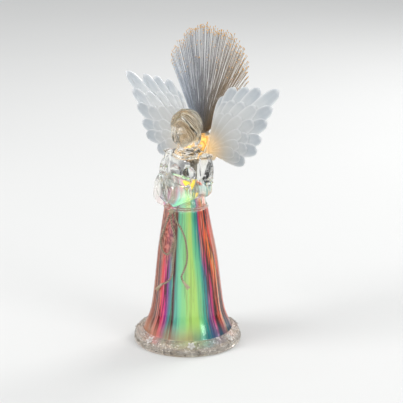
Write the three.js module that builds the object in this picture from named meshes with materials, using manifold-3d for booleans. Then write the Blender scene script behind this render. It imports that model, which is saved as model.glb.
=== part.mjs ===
// A lighted acrylic angel: a fluted clear gown over an iridescent film cone, a two-shell clear
// figure with praying hands, two frosted feather wings and a spray of light fibres behind the head.
// Millimetres, +Z up. The figure faces -Y, and the origin is the middle of the base's underside.
import * as THREE from "three";
import { mergeGeometries, mergeVertices } from "three/addons/utils/BufferGeometryUtils.js";
import Module from "manifold-3d";

const wasm = await Module();
wasm.setup();

// Clearances and cutting
const gap = 0.3; // between pieces that touch on the real object
const overrun = 1; // how far a cutter passes the face that it opens
const sink = 0.6; // how deep a fused detail is set into its carrier

// Base ring
const bankWidth = 6; // how far the base stands out past the gown's hem
const baseRimHeight = 13.5;
const baseFootWidth = 5;
const baseFloorThickness = 3;
const baseLumpHeight = 0.7;
const baseLumpCount = 9;
const rosetteCount = 7;
const rosetteRadius = 4.3;
const rosetteThickness = 1.6;
const rosetteLean = 0.75; // radians, to lie on the bank of ice
const baseSegments = 36;

// Gown shell
const hemSpread = 12.2; // how far the hem stands out past the battery tray's rim
const waistRadius = 20.4;
const gownHeight = 132.8;
const gownWall = 1.6;
const fluteDepth = 1.1;
const fluteCount = 10;
const waistLean = -2; // the waist stands this far from the axis along Y
const waistOpeningRadius = 13;
const waistLipThickness = 1.6;
const gownSegments = 30;

// Rope belt, moulded on the gown
const ropeRadius = 1.15;
const beltRadius = 1.5;
const knotRadius = 3;
const knotTurn = -7.7; // degrees from the front
const tasselLength = 10;
const tasselRadius = 2.2;

// Film cone
const filmThickness = 0.4;
const filmDrop = 6.8; // the film's top edge below the gown's top
const filmSegments = 14;

// Battery tray
const trayPlateBottom = 0.8;
const trayPlateThickness = 1.8;
const trayFlange = 6.2; // width of the screw flange round the tray's rim
const trayWall = 1.8;
const trayHeight = 15;
const bayWall = 1.6;
const cellRadius = 5.25;
const cellLength = 44.5;
const cellButtonLength = 0.8;
const cellButtonRadius = 1.9;
const cellCount = 3;
const cellSpacing = 10.9;
const contactThickness = 0.5;
const contactWidth = 8;
const contactHeight = 8;
const springLength = 3.6;
const springRadius = 2.6;
const springTipRadius = 1.7;
const springWire = 0.5;
const springCurls = 3;
const doorThickness = 1.5;
const doorHingeRadius = 0.75;
const doorRibHeight = 0.8;
const latchWidth = 9;
const latchReach = 0.8;
const trayScrewCount = 3;
const trayScrewRadius = 1.2;
const trayScrewHeadRadius = 2.4;
const trayScrewHeadHeight = 1.1;
const trayScrewLength = 3.6;

// Slide switch
const switchLength = 8.6;
const switchWidth = 4.4;
const switchHeight = 4;
const switchTravel = 2;
const knobLength = 2.4;
const knobWidth = 2.2;
const knobHeight = 3.4;
const knobRecess = 0.5;
const switchOffset = 26;

// Circuit board
const boardLength = 42;
const boardWidth = 24;
const boardThickness = 1.6;
const boardPostHeight = 1.5;
const boardPostRadius = 2.4;
const boardScrewRadius = 1;
const boardScrewHeadRadius = 1.9;
const boardScrewHeadHeight = 1.2;
const boardScrewLength = 4;
const chipLength = 5;
const chipWidth = 4;
const chipHeight = 1.5;
const resistorLength = 3.2;
const resistorWidth = 1.6;
const resistorHeight = 0.8;

// Light-emitting diodes
const ledRadius = 2.5;
const ledFlangeRadius = 2.9;
const ledFlangeThickness = 1;
const ledLength = 8.6;
const baseLedSpread = 12;

// Light fibres
const fibreLedRise = 9.2; // flange of the fibre light above its holder
const ferrulePlace = new THREE.Vector2(1.5, 8);
const ferruleRadius = 3.9;
const ferruleBore = 3.3;
const ferruleLength = 25;
const bundleRadius = 3;
const fanRootDepth = 28.6; // from the axis to the middle of the spray's root, along Y
const fanRise = 17; // root of the spray above the wings' root
const crownHalfWidth = 6.6;
const crownHalfDepth = 4.4;
const crownHeight = 3;
const fibreRadius = 0.2;
const fibreLength = 106;
const fibreColumns = 28;
const fibreRows = 13;
const fibreSpread = 0.7; // sideways run of an outermost fibre, as a share of its rise

// Light holder and leads
const holderSeatWidth = 2.4; // how far the holder disc lies over the gown's lip
const holderThickness = 2;
const chestSocketLength = 4;
const chestSocketWall = 1.2;
const leadRadius = 0.8;
const leadSpread = 6.5; // how far a lead starts from the board's middle
const leadBend = 3.4; // the last bend's distance from the chest light

// Figure
const bodiceHeight = 54;
const shoulderHalfWidth = 21;
const bodiceHalfDepth = 15.5;
const figureWall = 2;
const headHalfWidth = 15.2;
const headHalfDepth = 15.8;
const headHalfHeight = 17.3;
const headOffset = -0.5; // middle of the hair from the axis, along Y
const headRise = 21.7; // middle of the hair above the shoulders
const lockRadius = 1.7;
const locksPerSide = 6;
const faceHalfWidth = 11.6;
const faceHalfDepth = 11;
const faceHalfHeight = 14;
const headBow = 0.3; // forward bow of the face in radians
const sleeveRadius = 6.4;
const wristRadius = 3.9;
const handHalfThickness = 2.4;
const handHalfWidth = 4.6;
const handLength = 19;
const sleeveHalfThickness = 6;
const sleeveWall = 1.4;
const fingerRadius = 1.15;
const splitDepth = 1; // the seam between the two half shells, from the axis along Y

// Wing block and wings
const blockHalfWidth = 9;
const blockOverhang = 5.6; // how far the block passes the fibre root
const wingDepth = 24.4; // from the axis to the middle of the wing, along Y
const wingDrop = 7.3; // root of the wings below the shoulders' top
const wingRootHalfHeight = 5;
const wingHubRadius = 9;
const featherThickness = 1.2;
const featherTilt = 0.075;
const longestFeather = 103;
const featherHalfWidth = 7;

// Places that follow from the sizes above
const bayLength = cellLength + springLength + 2 * contactThickness + 5 * gap;
const bayWidth = (cellCount - 1) * cellSpacing + 2 * cellRadius + 2 * gap;
const trayRadius = Math.hypot(bayLength + 2 * bayWall, bayWidth + 2 * bayWall) / 2 + trayWall + 2 * gap;
const trayPlateRadius = trayRadius + trayFlange;
const hemRadius = trayRadius + hemSpread;
const baseRadius = hemRadius + bankWidth;
const trayPlateTop = trayPlateBottom + trayPlateThickness;
const baseFloorBottom = trayPlateTop + gap;
const ledgeHeight = baseFloorBottom + baseFloorThickness;
const gownBottom = ledgeHeight + gap;
const gownTop = gownBottom + gownHeight;
const figureBottom = gownTop + gap;
const cellBottom = trayPlateBottom + doorThickness + doorRibHeight + gap;
const bayTop = cellBottom + 2 * cellRadius + gap;
const bayOuterTop = bayTop + bayWall;
const boardBottom = bayOuterTop + boardPostHeight + gap;
const boardTop = boardBottom + boardThickness;
const holderRadius = waistOpeningRadius + holderSeatWidth;
const holderTop = figureBottom + holderThickness;
const fibreLedHeight = holderTop + fibreLedRise;
const shoulderTop = figureBottom + bodiceHeight;
const headHeight = shoulderTop + headRise;
const wingRootHeight = shoulderTop - wingDrop;
const fanRootHeight = wingRootHeight + fanRise;

// Solids and meshes
function toSolid(geometry) {
  const plain = geometry.index ? geometry.toNonIndexed() : geometry.clone();
  plain.deleteAttribute("normal");
  plain.deleteAttribute("uv");
  const merged = mergeVertices(plain, 1e-4);
  const wrap = () =>
    new wasm.Manifold(
      new wasm.Mesh({
        numProp: 3,
        vertProperties: new Float32Array(merged.attributes.position.array),
        triVerts: new Uint32Array(merged.index.array),
      }),
    );
  const solid = wrap();
  if (solid.volume() > 0) return solid;
  const index = merged.index.array;
  for (let i = 0; i < index.length; i += 3) [index[i], index[i + 1]] = [index[i + 1], index[i]];
  return wrap();
}

function toGeometry(solid) {
  const mesh = solid.getMesh();
  const count = mesh.vertProperties.length / mesh.numProp;
  const points = new Float32Array(3 * count);
  for (let i = 0; i < count; i++) {
    for (let axis = 0; axis < 3; axis++) points[3 * i + axis] = mesh.vertProperties[mesh.numProp * i + axis];
  }
  const geometry = new THREE.BufferGeometry();
  geometry.setAttribute("position", new THREE.BufferAttribute(points, 3));
  geometry.setIndex(new THREE.BufferAttribute(new Uint32Array(mesh.triVerts), 1));
  const flat = geometry.toNonIndexed();
  flat.computeVertexNormals();
  return flat;
}

const joined = (first, ...others) => others.reduce((whole, next) => whole.add(next), first);
const cut = (first, ...others) => others.reduce((whole, next) => whole.subtract(next), first);

// A profile of [radius, height] pairs turned about the Z axis.
function turned(profile, segments, closed = false) {
  const points = profile.map(([radius, height]) => new THREE.Vector2(radius, height));
  if (closed) points.push(points[0].clone());
  return new THREE.LatheGeometry(points, segments).rotateX(Math.PI / 2);
}

function disc(radius, bottom, top, segments = 24, x = 0, y = 0) {
  const profile = [[0, bottom], [radius, bottom], [radius, top], [0, top]];
  return turned(profile, segments).translate(x, y, 0);
}

function ringOf(outer, inner, bottom, top, segments = 24, x = 0, y = 0) {
  const profile = [[inner, bottom], [outer, bottom], [outer, top], [inner, top]];
  return turned(profile, segments, true).translate(x, y, 0);
}

function block(width, depth, bottom, top, x = 0, y = 0) {
  return new THREE.BoxGeometry(width, depth, top - bottom).translate(x, y, (bottom + top) / 2);
}

function circleShape(radius, sides) {
  const shape = new THREE.Shape();
  for (let i = 0; i < sides; i++) {
    const angle = (2 * Math.PI * i) / sides;
    const point = [radius * Math.cos(angle), radius * Math.sin(angle)];
    if (i === 0) shape.moveTo(...point);
    else shape.lineTo(...point);
  }
  return shape;
}

// A round bar along a smooth curve through the given points.
function bar(points, radius, sides, steps) {
  const path = new THREE.CatmullRomCurve3(points.map((p) => new THREE.Vector3(...p)), false, "centripetal");
  return new THREE.ExtrudeGeometry(circleShape(radius, sides), {
    extrudePath: path,
    steps,
    bevelEnabled: false,
  });
}

// A tapered limb with rounded ends from one point to another.
function limb(start, end, startRadius, endRadius, segments = 8) {
  const from = new THREE.Vector3(...start);
  const to = new THREE.Vector3(...end);
  const length = from.distanceTo(to);
  const half = Math.SQRT1_2;
  const profile = [
    [0, -startRadius],
    [startRadius * half, -startRadius * half],
    [startRadius, 0],
    [endRadius, length],
    [endRadius * half, length + endRadius * half],
    [0, length + endRadius],
  ];
  const geometry = turned(profile, segments);
  const up = new THREE.Vector3(0, 0, 1);
  const turn = new THREE.Quaternion().setFromUnitVectors(up, to.clone().sub(from).normalize());
  return geometry.applyQuaternion(turn).translate(...start);
}

function ball(halfWidth, halfDepth, halfHeight, centre, bow = 0, across = 12, down = 8) {
  return new THREE.SphereGeometry(1, across, down)
    .rotateX(Math.PI / 2)
    .scale(halfWidth, halfDepth, halfHeight)
    .rotateX(bow)
    .translate(...centre);
}

// Rows of [height, half width, half depth, middle along Y] joined into one rounded body.
function loft(rows, segments) {
  const profile = [[0, rows[0][0]], ...rows.map(([height]) => [1, height])];
  profile.push([0, rows[rows.length - 1][0]]);
  const geometry = turned(profile, segments);
  const position = geometry.attributes.position;
  for (let i = 0; i < position.count; i++) {
    const height = position.getZ(i);
    const row = rows.reduce((best, next) =>
      Math.abs(next[0] - height) < Math.abs(best[0] - height) ? next : best,
    );
    position.setX(i, position.getX(i) * row[1]);
    position.setY(i, position.getY(i) * row[2] + row[3]);
  }
  return geometry;
}

const group = new THREE.Group();
group.name = "lighted_acrylic_angel";

function place(name, solid, color, roughness, metalness = 0, opacity = 1) {
  const material = new THREE.MeshStandardMaterial({
    color,
    roughness,
    metalness,
    transparent: opacity < 1,
    opacity,
  });
  const mesh = new THREE.Mesh(toGeometry(solid), material);
  mesh.name = name;
  group.add(mesh);
  return mesh;
}

// The gown's outline: shares of its height from the hem up, and of the hem's flare over the waist.
const gownShares = [
  [0, 1], [0.04, 0.85], [0.085, 0.765], [0.165, 0.605], [0.245, 0.52],
  [0.4, 0.425], [0.64, 0.295], [0.79, 0.171], [0.91, 0.075], [1, 0],
];

function gownRadiusAt(height) {
  const share = THREE.MathUtils.clamp((height - gownBottom) / gownHeight, 0, 1);
  const upper = Math.max(1, gownShares.findIndex(([at]) => at >= share));
  const [lowAt, lowFlare] = gownShares[upper - 1];
  const [highAt, highFlare] = gownShares[upper];
  const flare = THREE.MathUtils.mapLinear(share, lowAt, highAt, lowFlare, highFlare);
  return waistRadius + (hemRadius - waistRadius) * flare;
}

// How far the gown's middle leans to the front, from nothing half way up to its full value.
function leanAt(height) {
  const share = THREE.MathUtils.clamp((height - gownBottom) / gownHeight, 0, 1);
  return waistLean * THREE.MathUtils.smoothstep(share, 0.5, 1);
}

function fluteAt(angle, height) {
  const share = THREE.MathUtils.clamp((height - gownBottom) / gownHeight, 0, 1);
  return fluteDepth * (1 - share) ** 0.5 * Math.cos(fluteCount * angle);
}

// Moves each point of a turned shape out by the flutes and forward by the lean.
function fluted(geometry, depthShare = 1) {
  const position = geometry.attributes.position;
  for (let i = 0; i < position.count; i++) {
    const [x, y, z] = [position.getX(i), position.getY(i), position.getZ(i)];
    const radius = Math.hypot(x, y);
    if (radius > 0) {
      const grown = (radius + depthShare * fluteAt(Math.atan2(y, x), z)) / radius;
      position.setX(i, x * grown);
      position.setY(i, y * grown);
    }
    position.setY(i, position.getY(i) + leanAt(z));
  }
  return geometry;
}

// A point on the gown, at an angle from the front towards +X.
function onGown(angle, height, out) {
  const radius = gownRadiusAt(height) + out;
  return [radius * Math.sin(angle), leanAt(height) - radius * Math.cos(angle), height];
}

// Base ring: a clear foot with a bead, a screw floor inside and a lumpy bank of ice outside.
function baseRing() {
  const wallInside = (height) => gownRadiusAt(height) + fluteDepth + gap;
  const bank = baseRadius - wallInside(ledgeHeight);
  const profile = [
    [trayRadius + gap, baseFloorBottom],
    [baseRadius - baseFootWidth - bank / 2, baseFloorBottom],
    [baseRadius - baseFootWidth - bank / 4, 0],
    [baseRadius - bank / 4, 0],
    [baseRadius, baseRimHeight * 0.2],
    [baseRadius - bank / 12, baseRimHeight * 0.44],
    [baseRadius - bank / 2.4, baseRimHeight * 0.72],
    [wallInside(baseRimHeight) + bank / 3, baseRimHeight],
    [wallInside(baseRimHeight), baseRimHeight * 0.96],
    [wallInside(ledgeHeight), ledgeHeight],
    [trayRadius + gap, ledgeHeight],
  ];
  const geometry = turned(profile, baseSegments, true);
  const position = geometry.attributes.position;
  for (let i = 0; i < position.count; i++) {
    const [x, y, z] = [position.getX(i), position.getY(i), position.getZ(i)];
    const radius = Math.hypot(x, y);
    const angle = Math.atan2(y, x);
    const outer = radius > wallInside(z) + bank / 9 && z > baseRimHeight * 0.3;
    if (!outer) continue;
    const wave = Math.sin(baseLumpCount * angle) + 0.6 * Math.sin((baseLumpCount + 5) * angle + z);
    const grown = (radius - Math.abs(baseLumpHeight * wave)) / radius;
    position.setXYZ(i, x * grown, y * grown, z);
  }
  const flowers = [];
  for (let i = 0; i < rosetteCount; i++) {
    const angle = (2 * Math.PI * (i + 0.3)) / rosetteCount;
    const flower = new THREE.Shape();
    const petals = 5;
    const steps = 3 * petals;
    for (let step = 0; step < steps; step++) {
      const turn = (2 * Math.PI * step) / steps;
      const reach = rosetteRadius * (0.8 + 0.2 * Math.cos(petals * turn));
      const point = [reach * Math.cos(turn), reach * Math.sin(turn)];
      if (step === 0) flower.moveTo(...point);
      else flower.lineTo(...point);
    }
    const rosette = new THREE.ExtrudeGeometry(flower, { depth: rosetteThickness, bevelEnabled: false });
    rosette
      .rotateY(rosetteLean)
      .translate(baseRadius - bank, 0, baseRimHeight * 0.7)
      .rotateZ(angle);
    flowers.push(toSolid(rosette));
  }
  const holes = trayScrewPlaces().map(([x, y]) =>
    toSolid(disc(trayScrewRadius + gap, baseFloorBottom - overrun, ledgeHeight - gap, 8, x, y)),
  );
  const besideBank = gownShares
    .map(([share]) => gownBottom + share * gownHeight)
    .filter((height) => height > ledgeHeight + gap && height < 2.2 * baseRimHeight);
  const clearance = toSolid(
    fluted(turned([
      [0, ledgeHeight],
      [hemRadius + gap, ledgeHeight],
      ...besideBank.map((height) => [gownRadiusAt(height) + 2 * gap, height]),
      [0, besideBank[besideBank.length - 1]],
    ], gownSegments)),
  );
  const within = toSolid(disc(baseRadius, sink, 2 * baseRimHeight, baseSegments));
  const trimmed = joined(...flowers).subtract(clearance).intersect(within);
  return cut(joined(toSolid(geometry), trimmed), ...holes);
}

function trayScrewPlaces() {
  const radius = (trayRadius + trayPlateRadius) / 2 + gap;
  return Array.from({ length: trayScrewCount }, (_, i) => {
    const angle = Math.PI / 6 + (2 * Math.PI * i) / trayScrewCount;
    return [radius * Math.cos(angle), radius * Math.sin(angle)];
  });
}

// Gown shell with the rope belt, knot and tasselled tails moulded on its front.
function gownShell() {
  const heights = gownShares.map(([share]) => gownBottom + share * gownHeight);
  const outer = heights.map((height) => [gownRadiusAt(height), height]);
  const inner = heights
    .slice(0, -1)
    .map((height) => [gownRadiusAt(height) - gownWall, height])
    .reverse();
  const underLip = gownTop - waistLipThickness;
  const lip = [[waistOpeningRadius, gownTop], [waistOpeningRadius, underLip]];
  const shoulder = [gownRadiusAt(underLip) - gownWall, underLip];
  const shell = turned([...outer, ...lip, shoulder, ...inner], gownSegments, true);
  const degrees = Math.PI / 180;
  const tailShares = {
    near: [[-4, 0.95], [0, 0.93], [19, 0.81], [32, 0.69], [30, 0.62], [22, 0.52], [27, 0.46], [29.5, 0.42]],
    far: [[-10, 0.95], [-13, 0.92], [-16, 0.84], [-12, 0.76], [-2, 0.68], [1.4, 0.61], [-4, 0.5],
      [-19, 0.41]],
    loop: [[-10, 0.95], [-20, 0.89], [-34, 0.85], [-40, 0.74], [-27, 0.68], [-11, 0.74]],
  };
  const details = [];
  for (const [name, shares] of Object.entries(tailShares)) {
    const route = shares.map(([turn, share]) =>
      onGown(turn * degrees, gownBottom + share * gownHeight, ropeRadius - sink),
    );
    details.push(toSolid(bar(route, ropeRadius, 5, 12)));
    if (name === "loop") continue;
    const [turn, share] = shares[shares.length - 1];
    const low = gownBottom + share * gownHeight - tasselLength;
    details.push(toSolid(limb(route[route.length - 1], onGown(turn * degrees, low, tasselRadius - sink),
      ropeRadius, tasselRadius, 6)));
  }
  const knotPlace = onGown(knotTurn * degrees, gownTop - 2 * beltRadius, knotRadius - 2 * sink);
  details.push(toSolid(ball(knotRadius, knotRadius, knotRadius, knotPlace, 0, 8, 6)));
  const belt = new THREE.TorusGeometry(waistRadius + ropeRadius, beltRadius, 5, gownSegments);
  belt.translate(0, waistLean, gownTop - 1.5 * beltRadius);
  details.push(toSolid(belt));
  return joined(toSolid(fluted(shell)), ...details);
}

// Iridescent film rolled into a cone just inside the gown.
function filmCone() {
  const top = gownTop - filmDrop;
  const shares = gownShares.filter(([share]) => gownBottom + share * gownHeight < top);
  const heights = [...shares.map(([share]) => gownBottom + share * gownHeight), top];
  const radiusAt = (height) => gownRadiusAt(height) - gownWall - fluteDepth - gap;
  const outer = heights.map((height) => [radiusAt(height), height]);
  const inner = heights.map((height) => [radiusAt(height) - filmThickness, height]).reverse();
  return toSolid(fluted(turned([...outer, ...inner], filmSegments, true), 0));
}

// The bodice and neck: shares of the bodice's height, the shoulders' half width and the half depth.
const bodiceShares = [
  [0, 0.95, 1.2, -0.13], [0.05, 0.93, 1.17, -0.12], [0.17, 0.87, 1.02, 0.02],
  [0.38, 0.88, 0.96, 0.13], [0.6, 0.95, 0.95, 0.2], [0.8, 1, 0.88, 0.22],
  [0.9, 0.95, 0.74, 0.2], [0.96, 0.68, 0.58, 0.16], [1, 0.4, 0.47, 0.1], [1.2, 0.36, 0.45, -0.05],
];

function bodiceRows(inset = 0, from = 0, to = Infinity) {
  return bodiceShares
    .filter(([height]) => height >= from && height <= to)
    .map(([height, width, depth, middle]) => [
      figureBottom + height * bodiceHeight,
      width * shoulderHalfWidth - inset,
      depth * bodiceHalfDepth - inset,
      middle * bodiceHalfDepth,
    ]);
}

// One arm: a puffed upper sleeve, a forearm, a hanging bell sleeve and a hand held palm to palm.
function arm(side) {
  const jointShares = { shoulder: [0.93, 0.16, 0.84], elbow: [0.95, 0.1, 0.26], wrist: [0.2, -2.5, 0.66] };
  const [shoulder, elbow, wrist] = Object.values(jointShares).map(([across, deep, up]) =>
    [side * across * shoulderHalfWidth, deep * bodiceHalfDepth, figureBottom + up * bodiceHeight]);
  const upper = toSolid(limb(shoulder, elbow, sleeveRadius, sleeveRadius));
  const fore = toSolid(limb(elbow, wrist, sleeveRadius, wristRadius));
  const palm = [side * (handHalfThickness + 0.1 * wristRadius), wrist[1], wrist[2]];
  const hand = toSolid(
    limb([0, 0, 0], [0, 0.08 * handLength, 0.4 * handLength], handHalfWidth, 0.85 * handHalfWidth, 8)
      .scale(handHalfThickness / handHalfWidth, 1, 1)
      .translate(...palm),
  );
  const fingerShares = [[-0.6, 0.78], [-0.16, 0.92], [0.3, 0.94], [0.72, 0.8]];
  const fingers = fingerShares.map(([across, reach]) =>
    toSolid(
      limb(
        [palm[0], palm[1] + across * handHalfWidth, palm[2] + 0.36 * handLength],
        [
          0.6 * palm[0],
          palm[1] + 0.16 * handLength + 0.8 * across * handHalfWidth,
          palm[2] + reach * handLength,
        ],
        fingerRadius,
        0.75 * fingerRadius,
        6,
      ),
    ),
  );
  const thumb = toSolid(
    limb(
      [palm[0], palm[1] - 0.8 * handHalfWidth, palm[2] + 0.1 * handLength],
      [0.6 * palm[0], palm[1] - 0.9 * handHalfWidth, palm[2] + 0.5 * handLength],
      1.2 * fingerRadius,
      0.9 * fingerRadius,
      6,
    ),
  );
  return joined(upper, fore, hand, ...fingers, thumb, bellSleeve(elbow, wrist));
}

// Reads a table of [place, value] rows at a place, straight from row to row.
function valueAt(rows, at) {
  const upper = Math.max(1, rows.findIndex(([place]) => place >= at));
  const [low, lowValue] = rows[upper - 1];
  const [high, highValue] = rows[upper];
  return THREE.MathUtils.mapLinear(at, low, high, lowValue, highValue);
}

// The bell sleeve: rings that hang from the forearm and grow longer towards an open cuff.
function bellSleeve(elbow, wrist) {
  const from = new THREE.Vector3(...elbow);
  const level = new THREE.Vector3(wrist[0] - elbow[0], wrist[1] - elbow[1], 0);
  const reach = level.length();
  const rise = wrist[2] - elbow[2];
  const ahead = level.clone().normalize();
  const aside = ahead.clone().cross(new THREE.Vector3(0, 0, 1));
  const topShares = [[0, 0.3], [0.3, 0.58], [0.6, 0.86], [0.85, 1.1], [1, 1.2]];
  const lowShares = [[0, -0.26], [0.3, -0.24], [0.55, -0.3], [0.8, -0.4], [1, -0.42]];
  const topReachShares = [[0, 0], [0.5, 0.5], [1, 1.06]];
  const lowReachShares = [[0, 0], [0.5, 0.5], [1, 0.9]];
  const bulgeShare = 0.26;
  const outerShares = [0, 0.25, 0.5, 0.72, 0.88, 1];
  const innerShares = [1, 0.8, 0.5];
  const rings = [
    ...outerShares.map((share) => [share, 0]),
    ...innerShares.map((share) => [share, sleeveWall]),
  ];
  const profile = [[0, 0], ...rings.map((_, i) => [1, i + 1]), [0, rings.length + 1]];
  const geometry = turned(profile, 12);
  const position = geometry.attributes.position;
  for (let i = 0; i < position.count; i++) {
    const row = Math.round(position.getZ(i));
    const [share, inset] = rings[THREE.MathUtils.clamp(row - 1, 0, rings.length - 1)];
    const angle = Math.atan2(position.getY(i), position.getX(i));
    const onRing = row > 0 && row <= rings.length;
    const up = onRing ? Math.cos(angle) : 0;
    const top = valueAt(topShares, share) * rise - inset;
    const low = valueAt(lowShares, share) * rise + inset;
    const ends = [valueAt(lowReachShares, share), valueAt(topReachShares, share)];
    const bulge = onRing ? bulgeShare * share ** 3 * (1 - up * up) : 0;
    const along = THREE.MathUtils.lerp(...ends, (1 + up) / 2) + bulge;
    const width = onRing ? (sleeveHalfThickness - inset) * (1 - up / 4) * Math.sin(angle) : 0;
    const point = from.clone().addScaledVector(ahead, along * reach).addScaledVector(aside, width);
    position.setXYZ(i, point.x, point.y, point.z + (top + low) / 2 + ((top - low) / 2) * up);
  }
  return toSolid(geometry);
}

// The bent light guide from the ferrule up through the wing block to the spray.
function bundleRoute(startHeight) {
  const rise = fanRootHeight - 2 * gap - startHeight;
  const run = fanRootDepth - ferrulePlace.y;
  const shares = [[0, 0], [0.18, 0], [0.38, 0.12], [0.58, 0.42], [0.74, 0.78], [0.88, 0.98], [1, 1]];
  return shares.map(([up, back]) => [
    ferrulePlace.x * (1 - back),
    ferrulePlace.y + back * run,
    startHeight + up * rise,
  ]);
}

const bundleBottom = fibreLedHeight + ledLength + gap;

// The block behind the shoulders that carries the wings and the spray.
function wingBlock() {
  const back = fanRootDepth + blockOverhang;
  const tall = fanRootHeight - wingRootHeight;
  const outline = new THREE.Shape();
  outline.moveTo(0.4 * bodiceHalfDepth, wingRootHeight - 0.55 * tall);
  outline.lineTo(wingDepth, wingRootHeight - 0.45 * tall);
  outline.quadraticCurveTo(back, wingRootHeight - 0.2 * tall, back, fanRootHeight - 0.3 * tall);
  outline.lineTo(back, fanRootHeight - gap);
  outline.lineTo(fanRootDepth - blockOverhang, fanRootHeight - gap);
  outline.quadraticCurveTo(bodiceHalfDepth, fanRootHeight - gap,
    0.8 * bodiceHalfDepth, fanRootHeight - 0.4 * tall);
  outline.lineTo(0.4 * bodiceHalfDepth, fanRootHeight - 0.5 * tall);
  outline.closePath();
  return new THREE.ExtrudeGeometry(outline, {
    depth: 2 * blockHalfWidth,
    bevelEnabled: false,
    curveSegments: 4,
  })
    .translate(0, 0, -blockHalfWidth)
    .rotateX(Math.PI / 2)
    .rotateZ(Math.PI / 2);
}

const wingHalfThickness = 1.75 * featherThickness;
const wingRootInset = bundleRadius + 2 * gap + featherThickness;

// Locks of hair sweep from the parting over the side of the head to the nape.
function locks(side) {
  const partingShares = [[0.04, -0.67, 0.74], [0.04, 0.4, 0.92]];
  const templeShares = [[0.83, -0.42, 0.38], [0.42, 0.72, 0.5]];
  const napeShares = [[0.86, 0.2, -0.5], [0.12, 0.86, -0.62]];
  const reach = [headHalfWidth, headHalfDepth, headHalfHeight].map((half) => half - 0.4 * lockRadius);
  return Array.from({ length: locksPerSide }, (_, lock) => {
    const share = lock / (locksPerSide - 1);
    const between = ([from, to]) => from.map((value, axis) => THREE.MathUtils.lerp(value, to[axis], share));
    const marks = [partingShares, templeShares, napeShares].map(between);
    const path = new THREE.CatmullRomCurve3(marks.map((mark) => new THREE.Vector3(...mark)));
    const points = path.getPoints(5).map((point) => {
      point.normalize();
      return [side * reach[0] * point.x, headOffset + reach[1] * point.y, headHeight + reach[2] * point.z];
    });
    return toSolid(bar(points, lockRadius, 5, 7));
  });
}

// The whole figure before it is parted into its front and back shells.
function figure() {
  const body = toSolid(loft(bodiceRows(), 20));
  const hair = toSolid(ball(headHalfWidth, headHalfDepth, headHalfHeight, [0, headOffset, headHeight]));
  const nape = toSolid(ball(0.8 * headHalfWidth, 0.5 * headHalfDepth, 0.8 * headHalfHeight,
    [0, 0.45 * headHalfDepth, headHeight - 0.7 * headHalfHeight], 0, 10, 7));
  const facePlace = [0, -0.55 * headHalfDepth, headHeight - 0.32 * headHalfHeight];
  const face = toSolid(ball(faceHalfWidth, faceHalfDepth, faceHalfHeight, facePlace, headBow));
  const nose = toSolid(ball(0.15 * faceHalfWidth, 0.2 * faceHalfDepth, 0.2 * faceHalfHeight,
    [0, facePlace[1] - 0.95 * faceHalfDepth, facePlace[2] - 0.08 * faceHalfHeight], headBow, 8, 6));
  const sides = [1, -1].flatMap((side) => [...locks(side), arm(side)]);
  const whole = joined(body, hair, nape, face, nose, toSolid(wingBlock()), ...sides);
  const hollow = toSolid(loft(bodiceRows(figureWall, 0, 0.85).map((row, i) =>
    i === 0 ? [row[0] - overrun, ...row.slice(1)] : row), 20));
  const guide = toSolid(bar(bundleRoute(bundleBottom), bundleRadius + gap, 12, 16));
  const mouth = toSolid(disc(bundleRadius + gap, fanRootHeight - bundleRadius, fanRootHeight + overrun, 12,
    0, fanRootDepth));
  const sleeve = toSolid(disc(ferruleRadius + gap, figureBottom, holderTop + ferruleLength + 2 * gap, 16,
    ferrulePlace.x, ferrulePlace.y));
  const slots = [1, -1].map((side) =>
    toSolid(
      block(
        blockHalfWidth,
        2 * (wingHalfThickness + gap),
        wingRootHeight - wingRootHalfHeight - gap,
        wingRootHeight + wingRootHalfHeight + gap,
        side * (wingRootInset - gap + blockHalfWidth / 2),
        wingDepth,
      ),
    ),
  );
  return cut(whole, hollow, guide, mouth, sleeve, ...slots);
}

function halfSpace(front) {
  const size = 4 * gownHeight;
  const middle = front ? splitDepth - gap / 2 - size / 2 : splitDepth + gap / 2 + size / 2;
  return toSolid(block(size, size, -size, size, 0, middle));
}

// Feathers: angle from level in degrees, then length as a share of the longest.
const featherRows = {
  long: [
    [-7, 0.4], [9, 0.53], [19.5, 0.6], [30.2, 0.72], [36.5, 0.84], [42, 1], [50.5, 0.86], [57.5, 0.78],
    [66.5, 0.7], [71, 0.58],
  ],
  middle: [
    [-2, 0.35], [12, 0.43], [25, 0.48], [35.5, 0.6], [44, 0.71], [53, 0.64], [61.5, 0.59], [67.5, 0.54],
  ],
  short: [[6, 0.29], [20, 0.36], [33, 0.43], [46, 0.52], [57, 0.47], [67, 0.42]],
};

function feather(length, halfWidth, thickness) {
  const start = 0.3 * wingHubRadius;
  const shape = new THREE.Shape();
  shape.moveTo(start, -0.3 * halfWidth);
  shape.bezierCurveTo(0.4 * length, -0.8 * halfWidth, 0.75 * length, -1.25 * halfWidth,
    0.93 * length, -0.72 * halfWidth);
  shape.lineTo(length, 0);
  shape.lineTo(0.93 * length, 0.72 * halfWidth);
  shape.bezierCurveTo(0.75 * length, 1.25 * halfWidth, 0.4 * length, 0.8 * halfWidth, start, 0.3 * halfWidth);
  shape.closePath();
  return new THREE.ExtrudeGeometry(shape, { depth: thickness, bevelEnabled: false, curveSegments: 3 })
    .translate(0, 0, -thickness / 2)
    .rotateX(featherTilt);
}

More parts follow.
